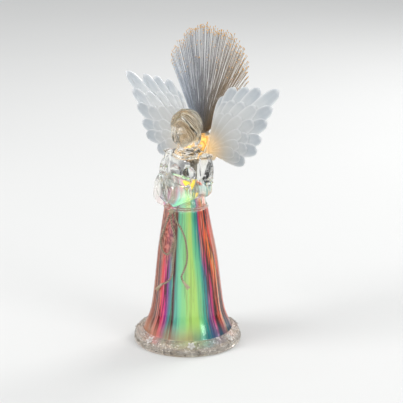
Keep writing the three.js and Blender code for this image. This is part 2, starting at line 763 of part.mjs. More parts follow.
// The right-hand (+X) wing in its own plane, then turned upright; the other wing is its mirror.
function wing(side) {
  const hubPlace = [blockHalfWidth + 0.45 * wingHubRadius, 0];
  const layers = Object.values(featherRows).map((row, i) => {
    const lift = (i - 1) * 0.75 * featherThickness;
    const parts = row.map(([degrees, share]) =>
      toSolid(
        feather(share * longestFeather, featherHalfWidth * (1 - 0.08 * i), featherThickness)
          .rotateZ((degrees * Math.PI) / 180)
          .translate(blockHalfWidth, 0, lift),
      ),
    );
    return joined(...parts);
  });
  const hub = toSolid(
    disc(wingHubRadius, -wingHalfThickness, wingHalfThickness, 12).scale(0.7, 1, 1).translate(...hubPlace, 0),
  );
  const root = toSolid(
    new THREE.BoxGeometry(hubPlace[0] - wingRootInset, 2 * wingRootHalfHeight, 2 * wingHalfThickness)
      .translate((hubPlace[0] + wingRootInset) / 2, 0, 0),
  );
  const inward = toSolid(
    new THREE.BoxGeometry(2 * blockHalfWidth, 2 * longestFeather, 2 * longestFeather)
      .translate(gap, 0, 0),
  );
  const flat = joined(cut(joined(...layers, hub), inward), root);
  const upright = toGeometry(flat).rotateX(Math.PI / 2).translate(0, wingDepth, wingRootHeight);
  return toSolid(side > 0 ? upright : upright.scale(-1, 1, 1));
}

// Spray of fibres: columns spread sideways, rows lean back, and no two fibres cross.
function fibreSpray() {
  const crownBottom = fanRootHeight;
  const crown = toSolid(
    disc(1, crownBottom, crownBottom + crownHeight, 16)
      .scale(crownHalfWidth, crownHalfDepth, 1)
      .translate(0, fanRootDepth, 0),
  );
  const fanShares = [
    [-1, 0.53], [-0.7, 0.65], [-0.5, 0.72], [-0.3, 0.88], [-0.1, 0.96], [0.1, 0.92],
    [0.3, 0.88], [0.5, 0.77], [0.7, 0.66], [0.85, 0.55], [1, 0.45],
  ];
  const frontLeanShares = [[0, 0.03], [0.7, 0.03], [1, 0.375]];
  const backLeanShares = [[0, 0.175], [0.88, 0.274], [1, 0.415]];
  const strands = [];
  const rootZ = crownBottom + crownHeight / 2;
  for (let column = 0; column < fibreColumns; column++) {
    const across = (2 * (column + 0.5)) / fibreColumns - 1;
    const sideways = fibreSpread * across;
    const leanLow = valueAt(frontLeanShares, Math.abs(across));
    const leanHigh = valueAt(backLeanShares, Math.abs(across));
    const roomShare = Math.sqrt(1 - (0.93 * across) ** 2);
    const rows = Math.round(fibreRows * roomShare);
    for (let row = 0; row < rows; row++) {
      const back = (2 * (row + 0.5 + (column % 2 ? 0.2 : -0.2))) / rows - 1;
      const lean = leanLow + ((leanHigh - leanLow) * (back + 1)) / 2;
      const root = new THREE.Vector3(
        0.93 * crownHalfWidth * across,
        fanRootDepth + 0.88 * crownHalfDepth * back * roomShare,
        rootZ,
      );
      const shortShare = ((7 * column + 3 * row) % 11) / 10;
      const trim = row % 2 ? 1 - 0.34 * shortShare : 1 - 0.04 * shortShare;
      const rise = fibreLength * valueAt(fanShares, across) * trim;
      const run = new THREE.Vector3(sideways, lean, 1).multiplyScalar(rise);
      const turn = new THREE.Quaternion().setFromUnitVectors(
        new THREE.Vector3(0, 0, 1),
        run.clone().normalize(),
      );
      strands.push(
        new THREE.ExtrudeGeometry(circleShape(fibreRadius, 3), { depth: run.length(), bevelEnabled: false })
          .applyQuaternion(turn)
          .translate(root.x, root.y, root.z),
      );
    }
  }
  const plain = strands.map((strand) => strand.deleteAttribute("normal").deleteAttribute("uv"));
  console.log("fibres in the spray: " + plain.length);
  return crown.add(toSolid(mergeGeometries(plain)));
}

// A five-millimetre diode with its flange at the given height.
function diode() {
  const straight = ledLength - ledRadius;
  const half = Math.SQRT1_2;
  return turned([
    [0, 0],
    [ledFlangeRadius, 0],
    [ledFlangeRadius, ledFlangeThickness],
    [ledRadius, ledFlangeThickness],
    [ledRadius, straight],
    [ledRadius * half, straight + ledRadius * half],
    [0, ledLength],
  ], 8);
}

// The chest light points up to the front, across the figure.
const chestLightAim = new THREE.Vector3(-9, -6, 7).normalize();
const chestLightPlace = [
  0.16 * shoulderHalfWidth,
  -0.1 * bodiceHalfDepth,
  figureBottom + 0.28 * bodiceHeight,
];

function aimed(geometry, along = 0) {
  const turn = new THREE.Quaternion().setFromUnitVectors(new THREE.Vector3(0, 0, 1), chestLightAim);
  const shift = chestLightAim.clone().multiplyScalar(along);
  return geometry.applyQuaternion(turn).translate(...chestLightPlace).translate(shift.x, shift.y, shift.z);
}

const chestHole = [
  chestLightPlace[0] + ledFlangeRadius + chestSocketWall,
  chestLightPlace[1] - leadRadius,
];

// Holder disc on the gown's lip: a spigot for the ferrule and a tilted socket for the chest light.
function ledHolder() {
  const plate = toSolid(disc(holderRadius, figureBottom, holderTop, 24, 0, waistLean));
  const spigotRadius = ferruleBore - gap;
  const spigotTop = holderTop + 5 * gap + ferruleBore;
  const spigot = toSolid(disc(spigotRadius, holderTop - sink, spigotTop, 12, ...ferrulePlace));
  const socketRadius = ledFlangeRadius + gap + chestSocketWall;
  const socket = toSolid(aimed(disc(socketRadius, -chestSocketWall - gap, chestSocketLength, 10)));
  const seat = toSolid(aimed(disc(ledFlangeRadius + gap, -gap, chestSocketLength + overrun, 10)));
  const post = toSolid(
    disc(socketRadius / 2, holderTop - sink, chestLightPlace[2], 8,
      chestLightPlace[0], chestLightPlace[1] - socketRadius / 2),
  );
  const wireHole = toSolid(disc(leadRadius + 2 * gap, figureBottom - overrun, spigotTop + overrun, 10,
    ...ferrulePlace));
  const chestWireHole = toSolid(disc(leadRadius + 3 * gap, figureBottom - overrun, holderTop + overrun, 10,
    ...chestHole));
  const back = toSolid(aimed(disc(leadRadius + 2 * gap, -ledLength, overrun, 10)));
  const body = joined(plate, spigot, cut(joined(socket, post), seat));
  return cut(body, wireHole, chestWireHole, back);
}

// Leads: each is one covered pair held from the board to its light.

function fibreLead() {
  const [x, y] = ferrulePlace;
  const drop = holderTop - boardTop;
  return toSolid(bar([
    [-x - leadSpread, y / 2, boardTop + gap],
    [-x - leadSpread, y / 2, boardTop + 0.05 * drop],
    [-0.9 * leadSpread, 0.6 * y, boardTop + 0.25 * drop],
    [-0.4 * leadSpread, 0.8 * y, boardTop + 0.54 * drop],
    [x, y, boardTop + 0.83 * drop],
    [x, y, boardTop + 0.96 * drop],
    [x, y, fibreLedHeight - gap],
  ], leadRadius, 8, 20));
}

function chestLead() {
  const [x, y] = chestHole;
  const drop = holderTop - boardTop;
  const start = new THREE.Vector3(...chestLightPlace).addScaledVector(chestLightAim, -2 * gap);
  const bend = new THREE.Vector3(...chestLightPlace).addScaledVector(chestLightAim, -leadBend);
  return toSolid(bar([
    [leadSpread, -0.6 * leadSpread, boardTop + gap],
    [leadSpread, -0.6 * leadSpread, boardTop + 0.05 * drop],
    [x + leadRadius, y, boardTop + 0.33 * drop],
    [x + leadRadius, y, boardTop + 0.74 * drop],
    [x, y, boardTop + 0.94 * drop],
    [x, y, holderTop + leadRadius],
    [x, y, chestLightPlace[2] - 2 * leadBend],
    bend.toArray(),
    start.toArray(),
  ], leadRadius, 8, 22));
}

// Battery tray: a round plate with a rim wall, a bay for the cells and a seat for the switch.
function batteryTray() {
  const outerLength = bayLength + 2 * bayWall;
  const outerWidth = bayWidth + 2 * bayWall;
  const plate = toSolid(disc(trayPlateRadius, trayPlateBottom, trayPlateTop, 26));
  const rim = toSolid(ringOf(trayRadius, trayRadius - trayWall, trayPlateTop - sink,
    trayPlateBottom + trayHeight, 26));
  const bay = toSolid(block(outerLength, outerWidth, trayPlateBottom, bayOuterTop));
  const room = toSolid(block(bayLength, bayWidth, trayPlateBottom - overrun, bayTop));
  const posts = boardScrewPlaces().map(([x, y]) =>
    toSolid(disc(boardPostRadius, bayOuterTop - sink, bayOuterTop + boardPostHeight, 8, x, y)));
  const postHoles = boardScrewPlaces().map(([x, y]) =>
    toSolid(disc(boardScrewRadius + gap, bayTop + sink, bayOuterTop + boardPostHeight + overrun, 8, x, y)));
  const slot = toSolid(block(knobLength + switchTravel + 2 * gap, knobWidth + 2 * gap,
    trayPlateBottom - overrun, trayPlateTop + overrun, 0, switchOffset));
  const screwHoles = trayScrewPlaces().map(([x, y]) =>
    toSolid(disc(trayScrewRadius + gap, trayPlateBottom - overrun, trayPlateTop + overrun, 8, x, y)));
  const headSeats = trayScrewPlaces().map(([x, y]) =>
    toSolid(disc(trayScrewHeadRadius + gap, trayPlateBottom - overrun,
      trayPlateBottom + trayScrewHeadHeight - gap, 8, x, y)));
  const latchNotch = toSolid(block(latchWidth + 2 * gap, latchReach + 2 * gap, trayPlateBottom - overrun,
    trayPlateTop + overrun, 0, bayWidth / 2 + (latchReach + 2 * gap) / 2 - gap / 2));
  return cut(joined(plate, rim, bay, ...posts), room, slot, latchNotch, ...postHoles, ...screwHoles, ...headSeats);
}

function boardScrewPlaces() {
  return [1, -1].map((side) => [side * (boardLength / 2 - 2 * boardScrewHeadRadius), 0]);
}

// The door swings on a rounded edge and closes with a sprung tongue at the opposite edge.
const doorHinge = [-(bayWidth / 2 - gap - doorHingeRadius), trayPlateBottom + doorHingeRadius];

function batteryDoor() {
  const [hingeY, hingeZ] = doorHinge;
  const farEdge = bayWidth / 2 - gap;
  const depth = farEdge - hingeY;
  const length = bayLength - 2 * gap;
  const panel = toSolid(block(length, depth, trayPlateBottom, trayPlateBottom + doorThickness,
    0, hingeY + depth / 2));
  const barrel = toSolid(
    new THREE.CylinderGeometry(doorHingeRadius, doorHingeRadius, length, 10)
      .rotateZ(Math.PI / 2)
      .translate(0, hingeY, hingeZ),
  );
  const tongue = toSolid(block(latchWidth, latchReach + sink, trayPlateBottom,
    trayPlateBottom + doorThickness, 0, farEdge + (latchReach - sink) / 2));
  const ribs = [-1, 0, 1].map((side) =>
    toSolid(block(bayWall, bayWidth / 2, trayPlateBottom + doorThickness - gap,
      trayPlateBottom + doorThickness + doorRibHeight, side * bayLength * 0.28, 0)));
  const slits = [-1, 1].map((side) =>
    toSolid(block(gap * 2, 4 * latchReach, trayPlateBottom - overrun, trayPlateTop,
      side * (latchWidth / 2 + gap), farEdge - 2 * latchReach + overrun)));
  return cut(joined(panel, barrel, tongue, ...ribs), ...slits);
}

function cell(index) {
  const direction = index % 2 === 0 ? 1 : -1;
  const body = cellLength - cellButtonLength;
  const round = turned([
    [0, 0],
    [cellRadius, 0],
    [cellRadius, body],
    [cellButtonRadius, body],
    [cellButtonRadius, cellLength],
    [0, cellLength],
  ], 12);
  const start = -bayLength / 2 + 3 * gap + contactThickness + springLength;
  const y = (index - (cellCount - 1) / 2) * cellSpacing;
  round.rotateY(Math.PI / 2).translate(start, 0, 0);
  if (direction < 0) round.rotateZ(Math.PI);
  return toSolid(round.translate(0, y, cellBottom + cellRadius));
}

// A cone spring on its contact, one unbroken wire with straight ends.
function contactSpring(index) {
  const direction = index % 2 === 0 ? 1 : -1;
  const steps = 8 * springCurls;
  const height = springLength - 2 * springWire;
  const curve = new (class extends THREE.Curve {
    getPoint(share, target = new THREE.Vector3()) {
      const turn = 2 * Math.PI * springCurls * share;
      const radius = THREE.MathUtils.lerp(springRadius, springTipRadius, share);
      return target.set(radius * Math.cos(turn), radius * Math.sin(turn), springWire / 2 + height * share);
    }
  })();
  const wire = new THREE.ExtrudeGeometry(circleShape(springWire / 2, 5), {
    extrudePath: curve,
    steps,
    bevelEnabled: false,
  });
  wire.computeBoundingBox();
  const box = wire.boundingBox;
  wire.translate(0, 0, -box.min.z).rotateY(Math.PI / 2);
  wire.translate(-bayLength / 2 + 2 * gap + contactThickness, 0, 0);
  if (direction < 0) wire.rotateZ(Math.PI);
  const y = (index - (cellCount - 1) / 2) * cellSpacing;
  return toSolid(wire.translate(0, y, cellBottom + cellRadius));
}

function springGap() {
  const pitch = (springLength - 2 * springWire) / springCurls;
  const shrink = (springRadius - springTipRadius) / springCurls;
  let least = Infinity;
  const points = [];
  const count = 16 * springCurls;
  for (let i = 0; i <= count; i++) {
    const turn = (2 * Math.PI * i) / 16;
    const radius = springRadius - (shrink * i) / 16;
    points.push(new THREE.Vector3(radius * Math.cos(turn), radius * Math.sin(turn), (pitch * i) / 16));
  }
  points.forEach((a, i) => {
    points.slice(i + 8).forEach((b) => {
      least = Math.min(least, a.distanceTo(b) - springWire);
    });
  });
  return least;
}

// Contact plates stand at both ends of the bay; side is the end, from and to are cell numbers.
function contact(side, from, to) {
  const middle = (from + to) / 2 - (cellCount - 1) / 2;
  const width = contactWidth + (to - from) * cellSpacing;
  const x = side * (bayLength / 2 - gap - contactThickness / 2);
  const centre = cellBottom + cellRadius;
  return toSolid(block(contactThickness, width, centre - contactHeight / 2, centre + contactHeight / 2, x,
    middle * cellSpacing));
}

function screw(headRadius, headHeight, radius, length, headDown) {
  const profile = [[0, 0], [headRadius, 0], [headRadius, headHeight], [radius, headHeight],
    [radius, headHeight + length], [0, headHeight + length]];
  const geometry = turned(profile, 8);
  return headDown ? geometry : geometry.rotateX(Math.PI);
}

const clear = 0.38;
place("base_ring", baseRing(), 0xd9d4c8, 0.08, 0, clear);
place("gown_shell", gownShell(), 0xe6dfd2, 0.08, 0, clear);
place("iridescent_film", filmCone(), 0x9fe0a8, 0.2, 0.4);

const whole = figure();
place("figure_front", whole.intersect(halfSpace(true)), 0xd6d6cc, 0.08, 0, clear);
place("figure_back", whole.intersect(halfSpace(false)), 0xd6d6cc, 0.08, 0, clear);
place("wing_left", wing(1), 0xdfe5e8, 0.45);
place("wing_right", wing(-1), 0xdfe5e8, 0.45);

place("fibre_spray", fibreSpray(), 0xcfd6dc, 0.15);
place("fibre_bundle", toSolid(bar(bundleRoute(bundleBottom), bundleRadius - gap / 3, 8, 10)), 0xd8c48a, 0.3);
place("fibre_ferrule", toSolid(ringOf(ferruleRadius, ferruleBore, holderTop + gap,
  holderTop + gap + ferruleLength, 12, ...ferrulePlace)), 0xdcdcd4, 0.1, 0, clear);
place("fibre_led", toSolid(diode().translate(ferrulePlace.x, ferrulePlace.y, fibreLedHeight)), 0xf0d838, 0.2);
place("chest_led", toSolid(aimed(diode())), 0xf0d838, 0.2);
place("led_holder", ledHolder(), 0xd8d8d0, 0.15, 0, clear);
place("fibre_led_lead", fibreLead(), 0xe8e8e8, 0.5);
place("chest_led_lead", chestLead(), 0xe8e8e8, 0.5);

place("battery_tray", batteryTray(), 0xe9e7e1, 0.5);
place("battery_door", batteryDoor(), 0xe9e7e1, 0.5);
for (let i = 0; i < cellCount; i++) place("battery_cell_" + (i + 1), cell(i), 0x8a8f96, 0.35, 0.6);
for (let i = 0; i < cellCount; i++) place("contact_spring_" + (i + 1), contactSpring(i), 0xc8c8c8, 0.3, 1);
place("contact_plate_positive", contact(1, 0, 0), 0xc8c8c8, 0.3, 1);
place("contact_link_right", contact(1, 1, 2), 0xc8c8c8, 0.3, 1);
place("contact_link_left", contact(-1, 0, 1), 0xc8c8c8, 0.3, 1);
place("contact_plate_negative", contact(-1, 2, 2), 0xc8c8c8, 0.3, 1);

const switchBottom = trayPlateTop + gap;
const switchRoom = toSolid(block(knobLength + switchTravel + 2 * gap, knobWidth + 2 * gap,
  switchBottom - overrun, trayPlateBottom + knobRecess + knobHeight + gap, 0, switchOffset));
place("switch_body", cut(toSolid(block(switchLength, switchWidth, switchBottom, switchBottom + switchHeight,
  0, switchOffset)), switchRoom), 0x2a2a2c, 0.5);
place("switch_knob", toSolid(block(knobLength, knobWidth, trayPlateBottom + knobRecess,
  trayPlateBottom + knobRecess + knobHeight, -switchTravel / 2, switchOffset)), 0x1c1c1e, 0.5);

const board = toSolid(block(boardLength, boardWidth, boardBottom, boardTop));
const boardHoles = boardScrewPlaces().map(([x, y]) =>
  toSolid(disc(boardScrewRadius + gap, boardBottom - overrun, boardTop + overrun, 8, x, y)));
place("circuit_board", cut(board, ...boardHoles), 0x2f6a43, 0.5);
place("controller_chip", toSolid(block(chipLength, chipWidth, boardTop + gap, boardTop + gap + chipHeight,
  0, -0.3 * boardWidth)), 0x1b1b1d, 0.4);
for (const [i, side] of [-1, 1].entries()) {
  place("resistor_" + (i + 1), toSolid(block(resistorLength, resistorWidth, boardTop + gap,
    boardTop + gap + resistorHeight, side * 0.2 * boardLength, 0.35 * boardWidth)), 0x2a2a2e, 0.4);
}
for (let i = 0; i < 3; i++) {
  const x = (i - 1) * baseLedSpread;
  const y = i === 1 ? 0.25 * boardWidth : -0.2 * boardWidth;
  place("gown_led_" + (i + 1), toSolid(diode().translate(x, y, boardTop + gap)), 0xf2f2ee, 0.1, 0, 0.6);
}
for (const [i, [x, y]] of boardScrewPlaces().entries()) {
  const top = boardTop + gap + boardScrewHeadHeight;
  place("board_screw_" + (i + 1), toSolid(screw(boardScrewHeadRadius, boardScrewHeadHeight, boardScrewRadius,
    boardScrewLength - gap, false).translate(x, y, top)), 0xb9bbbd, 0.3, 1);
}
for (const [i, [x, y]] of trayScrewPlaces().entries()) {
  place("tray_screw_" + (i + 1), toSolid(screw(trayScrewHeadRadius, trayScrewHeadHeight - 2 * gap,
    trayScrewRadius, trayScrewLength, true).translate(x, y, trayPlateBottom)), 0xb9bbbd, 0.3, 1);
}
console.log("least gap of a contact spring to itself " + springGap().toFixed(2) + " mm");

export default group;
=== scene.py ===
# %% [markdown]
# # A lighted acrylic angel
#
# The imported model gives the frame: every solid is already in its place, in metres. This lesson
# dresses it. Clear mouldings get smooth walls, real folds and refraction, the feathers get their
# shafts, the light fibres get one strand each, and the lamps glow.

# %% Load the frame
import math
import bpy
import bmesh
from mathutils import Euler, Matrix, Vector, noise
from mathutils.kdtree import KDTree


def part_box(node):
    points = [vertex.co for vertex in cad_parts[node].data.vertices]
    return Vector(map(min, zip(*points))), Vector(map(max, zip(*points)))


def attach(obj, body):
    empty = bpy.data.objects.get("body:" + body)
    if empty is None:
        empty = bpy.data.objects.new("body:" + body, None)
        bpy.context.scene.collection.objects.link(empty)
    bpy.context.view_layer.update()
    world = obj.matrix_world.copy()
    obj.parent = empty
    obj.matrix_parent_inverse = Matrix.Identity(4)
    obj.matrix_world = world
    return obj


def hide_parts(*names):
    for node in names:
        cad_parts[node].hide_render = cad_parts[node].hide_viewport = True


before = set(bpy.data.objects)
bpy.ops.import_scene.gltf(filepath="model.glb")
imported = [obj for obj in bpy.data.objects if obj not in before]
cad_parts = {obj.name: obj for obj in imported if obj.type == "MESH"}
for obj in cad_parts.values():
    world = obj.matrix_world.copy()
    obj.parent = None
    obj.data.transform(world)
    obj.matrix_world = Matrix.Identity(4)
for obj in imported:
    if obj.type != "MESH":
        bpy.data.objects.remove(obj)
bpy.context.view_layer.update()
MM = 0.001
ANGEL = "angel"

# %% [markdown]
# ## Camera, floor and light
#
# The camera stands a little above the waist, to the front and to the angel's left, and looks down
# at the base. The floor is pale and large, and soft lights stand on both sides, as in a small
# product studio. Clear acrylic only shows where it bends light of different brightness, so the
# sky is brighter above than at the horizon.

# %% Camera
CAMERA_PLACE = (0.6889, -1.1025, 0.5259)
CAMERA_TURN = math.radians(31.39)
CAMERA_DIP = math.radians(16.527)
FOCAL_LENGTH = 125.7

camera_data = bpy.data.cameras.new("studio_camera")
camera_data.lens = FOCAL_LENGTH
camera_data.sensor_width = 36
camera = bpy.data.objects.new("studio_camera", camera_data)
camera.location = CAMERA_PLACE
camera.rotation_euler = Euler((math.pi / 2 - CAMERA_DIP, 0, CAMERA_TURN))
bpy.context.scene.collection.objects.link(camera)
bpy.context.scene.camera = camera
print("the camera is", round(Vector(CAMERA_PLACE).length, 2), "m away")

# %% Soft lights and a graded sky
LIGHTS_AIM = Vector((0, 0, 0.15))
HORIZON, ZENITH, ZENITH_START = (0.2, 0.205, 0.21, 1), (0.78, 0.79, 0.8, 1), 0.75


def soft_light(name, place, size, watts):
    """A square area light that looks at the middle of the angel."""
    data = bpy.data.lights.new(name, "AREA")
    data.size = size
    data.energy = watts
    light = bpy.data.objects.new(name, data)
    light.location = place
    light.rotation_euler = (LIGHTS_AIM - Vector(place)).to_track_quat("-Z", "Y").to_euler()
    bpy.context.scene.collection.objects.link(light)


soft_light("key_light", (-1.1, -1.2, 1.5), 1.0, 22)
soft_light("fill_light", (1.7, -0.3, 0.9), 0.8, 9)
soft_light("back_light", (0.3, 1.5, 1.2), 0.9, 14)

world = bpy.data.worlds.new("studio")
bpy.context.scene.world = world
world.use_nodes = True
sky = world.node_tree.nodes
sky_place = sky.new("ShaderNodeTexCoord")
sky_split = sky.new("ShaderNodeSeparateXYZ")
sky_ramp = sky.new("ShaderNodeValToRGB")
low_end, high_end = sky_ramp.color_ramp.elements
low_end.color = HORIZON
high_end.color = ZENITH
high_end.position = ZENITH_START
world.node_tree.links.new(sky_place.outputs["Generated"], sky_split.inputs[0])
world.node_tree.links.new(sky_split.outputs["Z"], sky_ramp.inputs[0])
world.node_tree.links.new(sky_ramp.outputs[0], sky["Background"].inputs[0])
bpy.context.scene.view_settings.view_transform = "Standard"
print("lights:", [light.name for light in bpy.data.lights])

# %% Light paths for clear walls
LIGHT_STEPS = 28  # a look through the gown, the film and the far wall crosses many surfaces
bpy.context.scene.cycles.max_bounces = LIGHT_STEPS
bpy.context.scene.cycles.transmission_bounces = LIGHT_STEPS
bpy.context.scene.cycles.transparent_max_bounces = LIGHT_STEPS
print("light may cross", LIGHT_STEPS, "surfaces")

# %% [markdown]
# ## Finishes
#
# A moulded surface is never perfectly even. Three effects are used by many finishes, so each is a
# node group with named inputs and outputs, built once: a slow ripple with fine grain for moulded
# plastic, streaks that run along the height for drawn or pleated pieces, and a speckled tone.
# A few small helpers make nodes, so that a finish reads like a recipe.

# %% Helpers for nodes
BLACK, WHITE = (0.0, 0.0, 0.0), (1.0, 1.0, 1.0)


def group_of(name, inputs, outputs):
    """An empty shader group: its tree, the sockets it reads and the sockets it fills."""
    kinds = {"value": "NodeSocketFloat", "colour": "NodeSocketColor", "vector": "NodeSocketVector"}
    tree = bpy.data.node_groups.new(name, "ShaderNodeTree")
    for label, kind, default in inputs:
        socket = tree.interface.new_socket(label, in_out="INPUT", socket_type=kinds[kind])
        if default is not None:
            socket.default_value = default
    for label, kind in outputs:
        tree.interface.new_socket(label, in_out="OUTPUT", socket_type=kinds[kind])
    start = tree.nodes.new("NodeGroupInput")
    end = tree.nodes.new("NodeGroupOutput")
    return tree, start.outputs, end.inputs


def feed(tree, socket, value):
    """Gives a socket its source: another node's output, a colour or a number."""
    if isinstance(value, bpy.types.NodeSocket):
        tree.links.new(value, socket)
    elif socket.type == "RGBA":
        socket.default_value = (*value, 1)
    else:
        socket.default_value = value


def node_of(tree, kind, feeds, **settings):
    """A new node with its settings, and with a source for every socket that feeds names."""
    node = tree.nodes.new(kind)
    for setting, value in settings.items():
        setattr(node, setting, value)
    for label, value in feeds.items():
        feed(tree, node.inputs[label], value)
    return node


def maths(tree, operation, *parts):
    return node_of(tree, "ShaderNodeMath", dict(enumerate(parts)), operation=operation).outputs[0]


def noise_in(tree, place, scale, detail=2):
    """Clouds of noise, as a number near one half."""
    feeds = {"Vector": place, "Scale": scale, "Detail": detail}
    return node_of(tree, "ShaderNodeTexNoise", feeds).outputs["Fac"]


def split_of(tree, place):
    return node_of(tree, "ShaderNodeSeparateXYZ", {0: place}).outputs


def joined(tree, across, deep, height):
    return node_of(tree, "ShaderNodeCombineXYZ", {"X": across, "Y": deep, "Z": height}).outputs[0]


def height_in(tree, place):
    return split_of(tree, place)["Z"]


def blended(tree, share, first, second):
    """A colour between two others."""
    feeds = {"Factor": share, 6: first, 7: second}  # 6 and 7 are the node's two colour sockets
    return node_of(tree, "ShaderNodeMix", feeds, data_type="RGBA").outputs[2]


def share_of(tree, source, start, end, strength=1.0):
    """A number that rises from 0 to its strength while the source goes from start to end."""
    feeds = {"Value": source, "From Min": start, "From Max": end, "To Max": strength}
    return node_of(tree, "ShaderNodeMapRange", feeds, interpolation_type="SMOOTHSTEP").outputs[0]


# %% Ripple and grain of a moulding
ripple_group, ripple_in, ripple_out = group_of(
    "moulded_ripple",
    [("Place", "vector", None), ("Ripple Scale", "value", 60.0), ("Grain Scale", "value", 900.0),
     ("Grain Share", "value", 0.2)],
    [("Height", "value")],
)
slow_ripple = noise_in(ripple_group, ripple_in["Place"], ripple_in["Ripple Scale"], 3)
fine_grain = noise_in(ripple_group, ripple_in["Place"], ripple_in["Grain Scale"], 2)
ripple_mix = node_of(ripple_group, "ShaderNodeMix",
                     {"Factor": ripple_in["Grain Share"], 2: slow_ripple, 3: fine_grain})
feed(ripple_group, ripple_out["Height"], ripple_mix.outputs[0])

# %% Streaks that run up and down
streak_group, streak_in, streak_out = group_of(
    "upright_streaks",
    [("Place", "vector", None), ("Fineness", "value", 260.0), ("Stretch", "value", 0.06)],
    [("Streak", "value")],
)
streak_at = split_of(streak_group, streak_in["Place"])
streak_height = maths(streak_group, "MULTIPLY", streak_at["Z"], streak_in["Stretch"])
streak_place = joined(streak_group, streak_at["X"], streak_at["Y"], streak_height)
feed(streak_group, streak_out["Streak"], noise_in(streak_group, streak_place, streak_in["Fineness"], 4))

# %% Speckled tone: one colour that drifts into another
speckle_group, speckle_in, speckle_out = group_of(
    "speckled_tone",
    [("Place", "vector", None), ("Colour", "colour", (1, 1, 1, 1)), ("Second Colour", "colour", (0, 0, 0, 1)),
     ("Scale", "value", 80.0), ("Amount", "value", 0.5)],
    [("Colour", "colour")],
)
speckle_noise = noise_in(speckle_group, speckle_in["Place"], speckle_in["Scale"], 5)
speckle_share = maths(speckle_group, "MULTIPLY", speckle_noise, speckle_in["Amount"])
speckle_tone = blended(speckle_group, speckle_share, speckle_in["Colour"], speckle_in["Second Colour"])
feed(speckle_group, speckle_out["Colour"], speckle_tone)


def speckled(tree, place, colour, second, scale, amount):
    """A node of the group, whose tone drifts from a colour towards a second one."""
    feeds = {"Place": place, "Colour": colour, "Second Colour": second, "Scale": scale, "Amount": amount}
    return node_of(tree, "ShaderNodeGroup", feeds, node_tree=speckle_group)


print("effects shared by the finishes:", [tree.name for tree in bpy.data.node_groups])

# %% [markdown]
# Each finish starts from the same few steps: a Principled shader with its plain values, the place
# on the piece, a tone that drifts, and a bump. The helper makes those, and a finish then adds
# what is its own.

# %% A finish and its usual nodes
def finish_of(name, colour, drift=None, drift_scale=80, drift_amount=0.6, bump=0.1, ripple=60, grain=900,
              grain_share=0.2, bump_depth=0.0004, **plain):
    """A material whose colour drifts to a second one and whose surface ripples."""
    material = bpy.data.materials.new(name)
    material.use_nodes = True
    tree = material.node_tree
    sockets = tree.nodes["Principled BSDF"].inputs
    feed(tree, sockets["Base Color"], colour)
    for label, value in plain.items():
        feed(tree, sockets[label.replace("_", " ")], value)
    place = tree.nodes.new("ShaderNodeTexCoord")
    place.name = "place"
    if drift is not None:
        tone = speckled(tree, place.outputs["Object"], colour, drift, drift_scale, drift_amount)
        tone.name = "tone"
        feed(tree, sockets["Base Color"], tone.outputs["Colour"])
    if bump:
        feeds = {"Place": place.outputs["Object"], "Ripple Scale": ripple, "Grain Scale": grain,
                 "Grain Share": grain_share}
        rough = node_of(tree, "ShaderNodeGroup", feeds, node_tree=ripple_group)
        feeds = {"Strength": bump, "Distance": bump_depth, "Height": rough.outputs["Height"]}
        raised = node_of(tree, "ShaderNodeBump", feeds, name="bump")
        feed(tree, sockets["Normal"], raised.outputs["Normal"])
    return material


def parts_of(material):
    """A finish's tree, its shader's sockets and the place on the piece."""
    nodes = material.node_tree.nodes
    return material.node_tree, nodes["Principled BSDF"].inputs, nodes["place"].outputs["Object"]


def own_tone(tree):
    """The drifting colour that a finish starts from."""
    return tree.nodes["tone"].outputs["Colour"]


def glow(material, colour, strength):
    tree, sockets, _ = parts_of(material)
    feed(tree, sockets["Emission Color"], colour)
    feed(tree, sockets["Emission Strength"], strength)


# %% The clear mouldings
gown_clear = finish_of("gown_clear", (0.98, 0.96, 0.94), drift=(0.94, 0.89, 0.85), drift_scale=30,
                       bump=0.1, ripple=45, Roughness=0.03, Transmission_Weight=1.0, IOR=1.45)
base_clear = finish_of("base_clear", (1.0, 0.98, 0.94), drift=(0.42, 0.37, 0.3), drift_scale=170,
                       drift_amount=0.8, bump=0.7, ripple=190, grain=500, bump_depth=0.0014,
                       Roughness=0.05, Transmission_Weight=0.88, IOR=1.47)
figure_clear = finish_of("figure_clear", (0.98, 0.98, 0.97), drift=(0.88, 0.89, 0.85), drift_scale=40,
                         bump=0.12, ripple=70, Roughness=0.05, Transmission_Weight=1.0, IOR=1.34)
rope_clear = finish_of("rope_clear", (0.86, 0.74, 0.55), drift=(0.4, 0.26, 0.13), drift_scale=240,
                       bump=0.2, Roughness=0.14, Transmission_Weight=0.3, IOR=1.49)
belt_clear = finish_of("belt_clear", (0.98, 0.97, 0.95), drift=(0.93, 0.9, 0.87), drift_scale=120,
                       bump=0.1, Roughness=0.05, Transmission_Weight=1.0, IOR=1.3)
holder_clear = finish_of("holder_clear", (0.9, 0.9, 0.88), drift=(0.8, 0.8, 0.76), bump=0.1,
                         Roughness=0.12, Transmission_Weight=0.9, IOR=1.35)
petal_clear = finish_of("petal_clear", (0.98, 0.97, 0.95), drift=(0.84, 0.81, 0.76), drift_scale=160,
                        bump=0.3, Roughness=0.14, Transmission_Weight=0.55, IOR=1.49)
print("clear finishes:", len(bpy.data.materials))
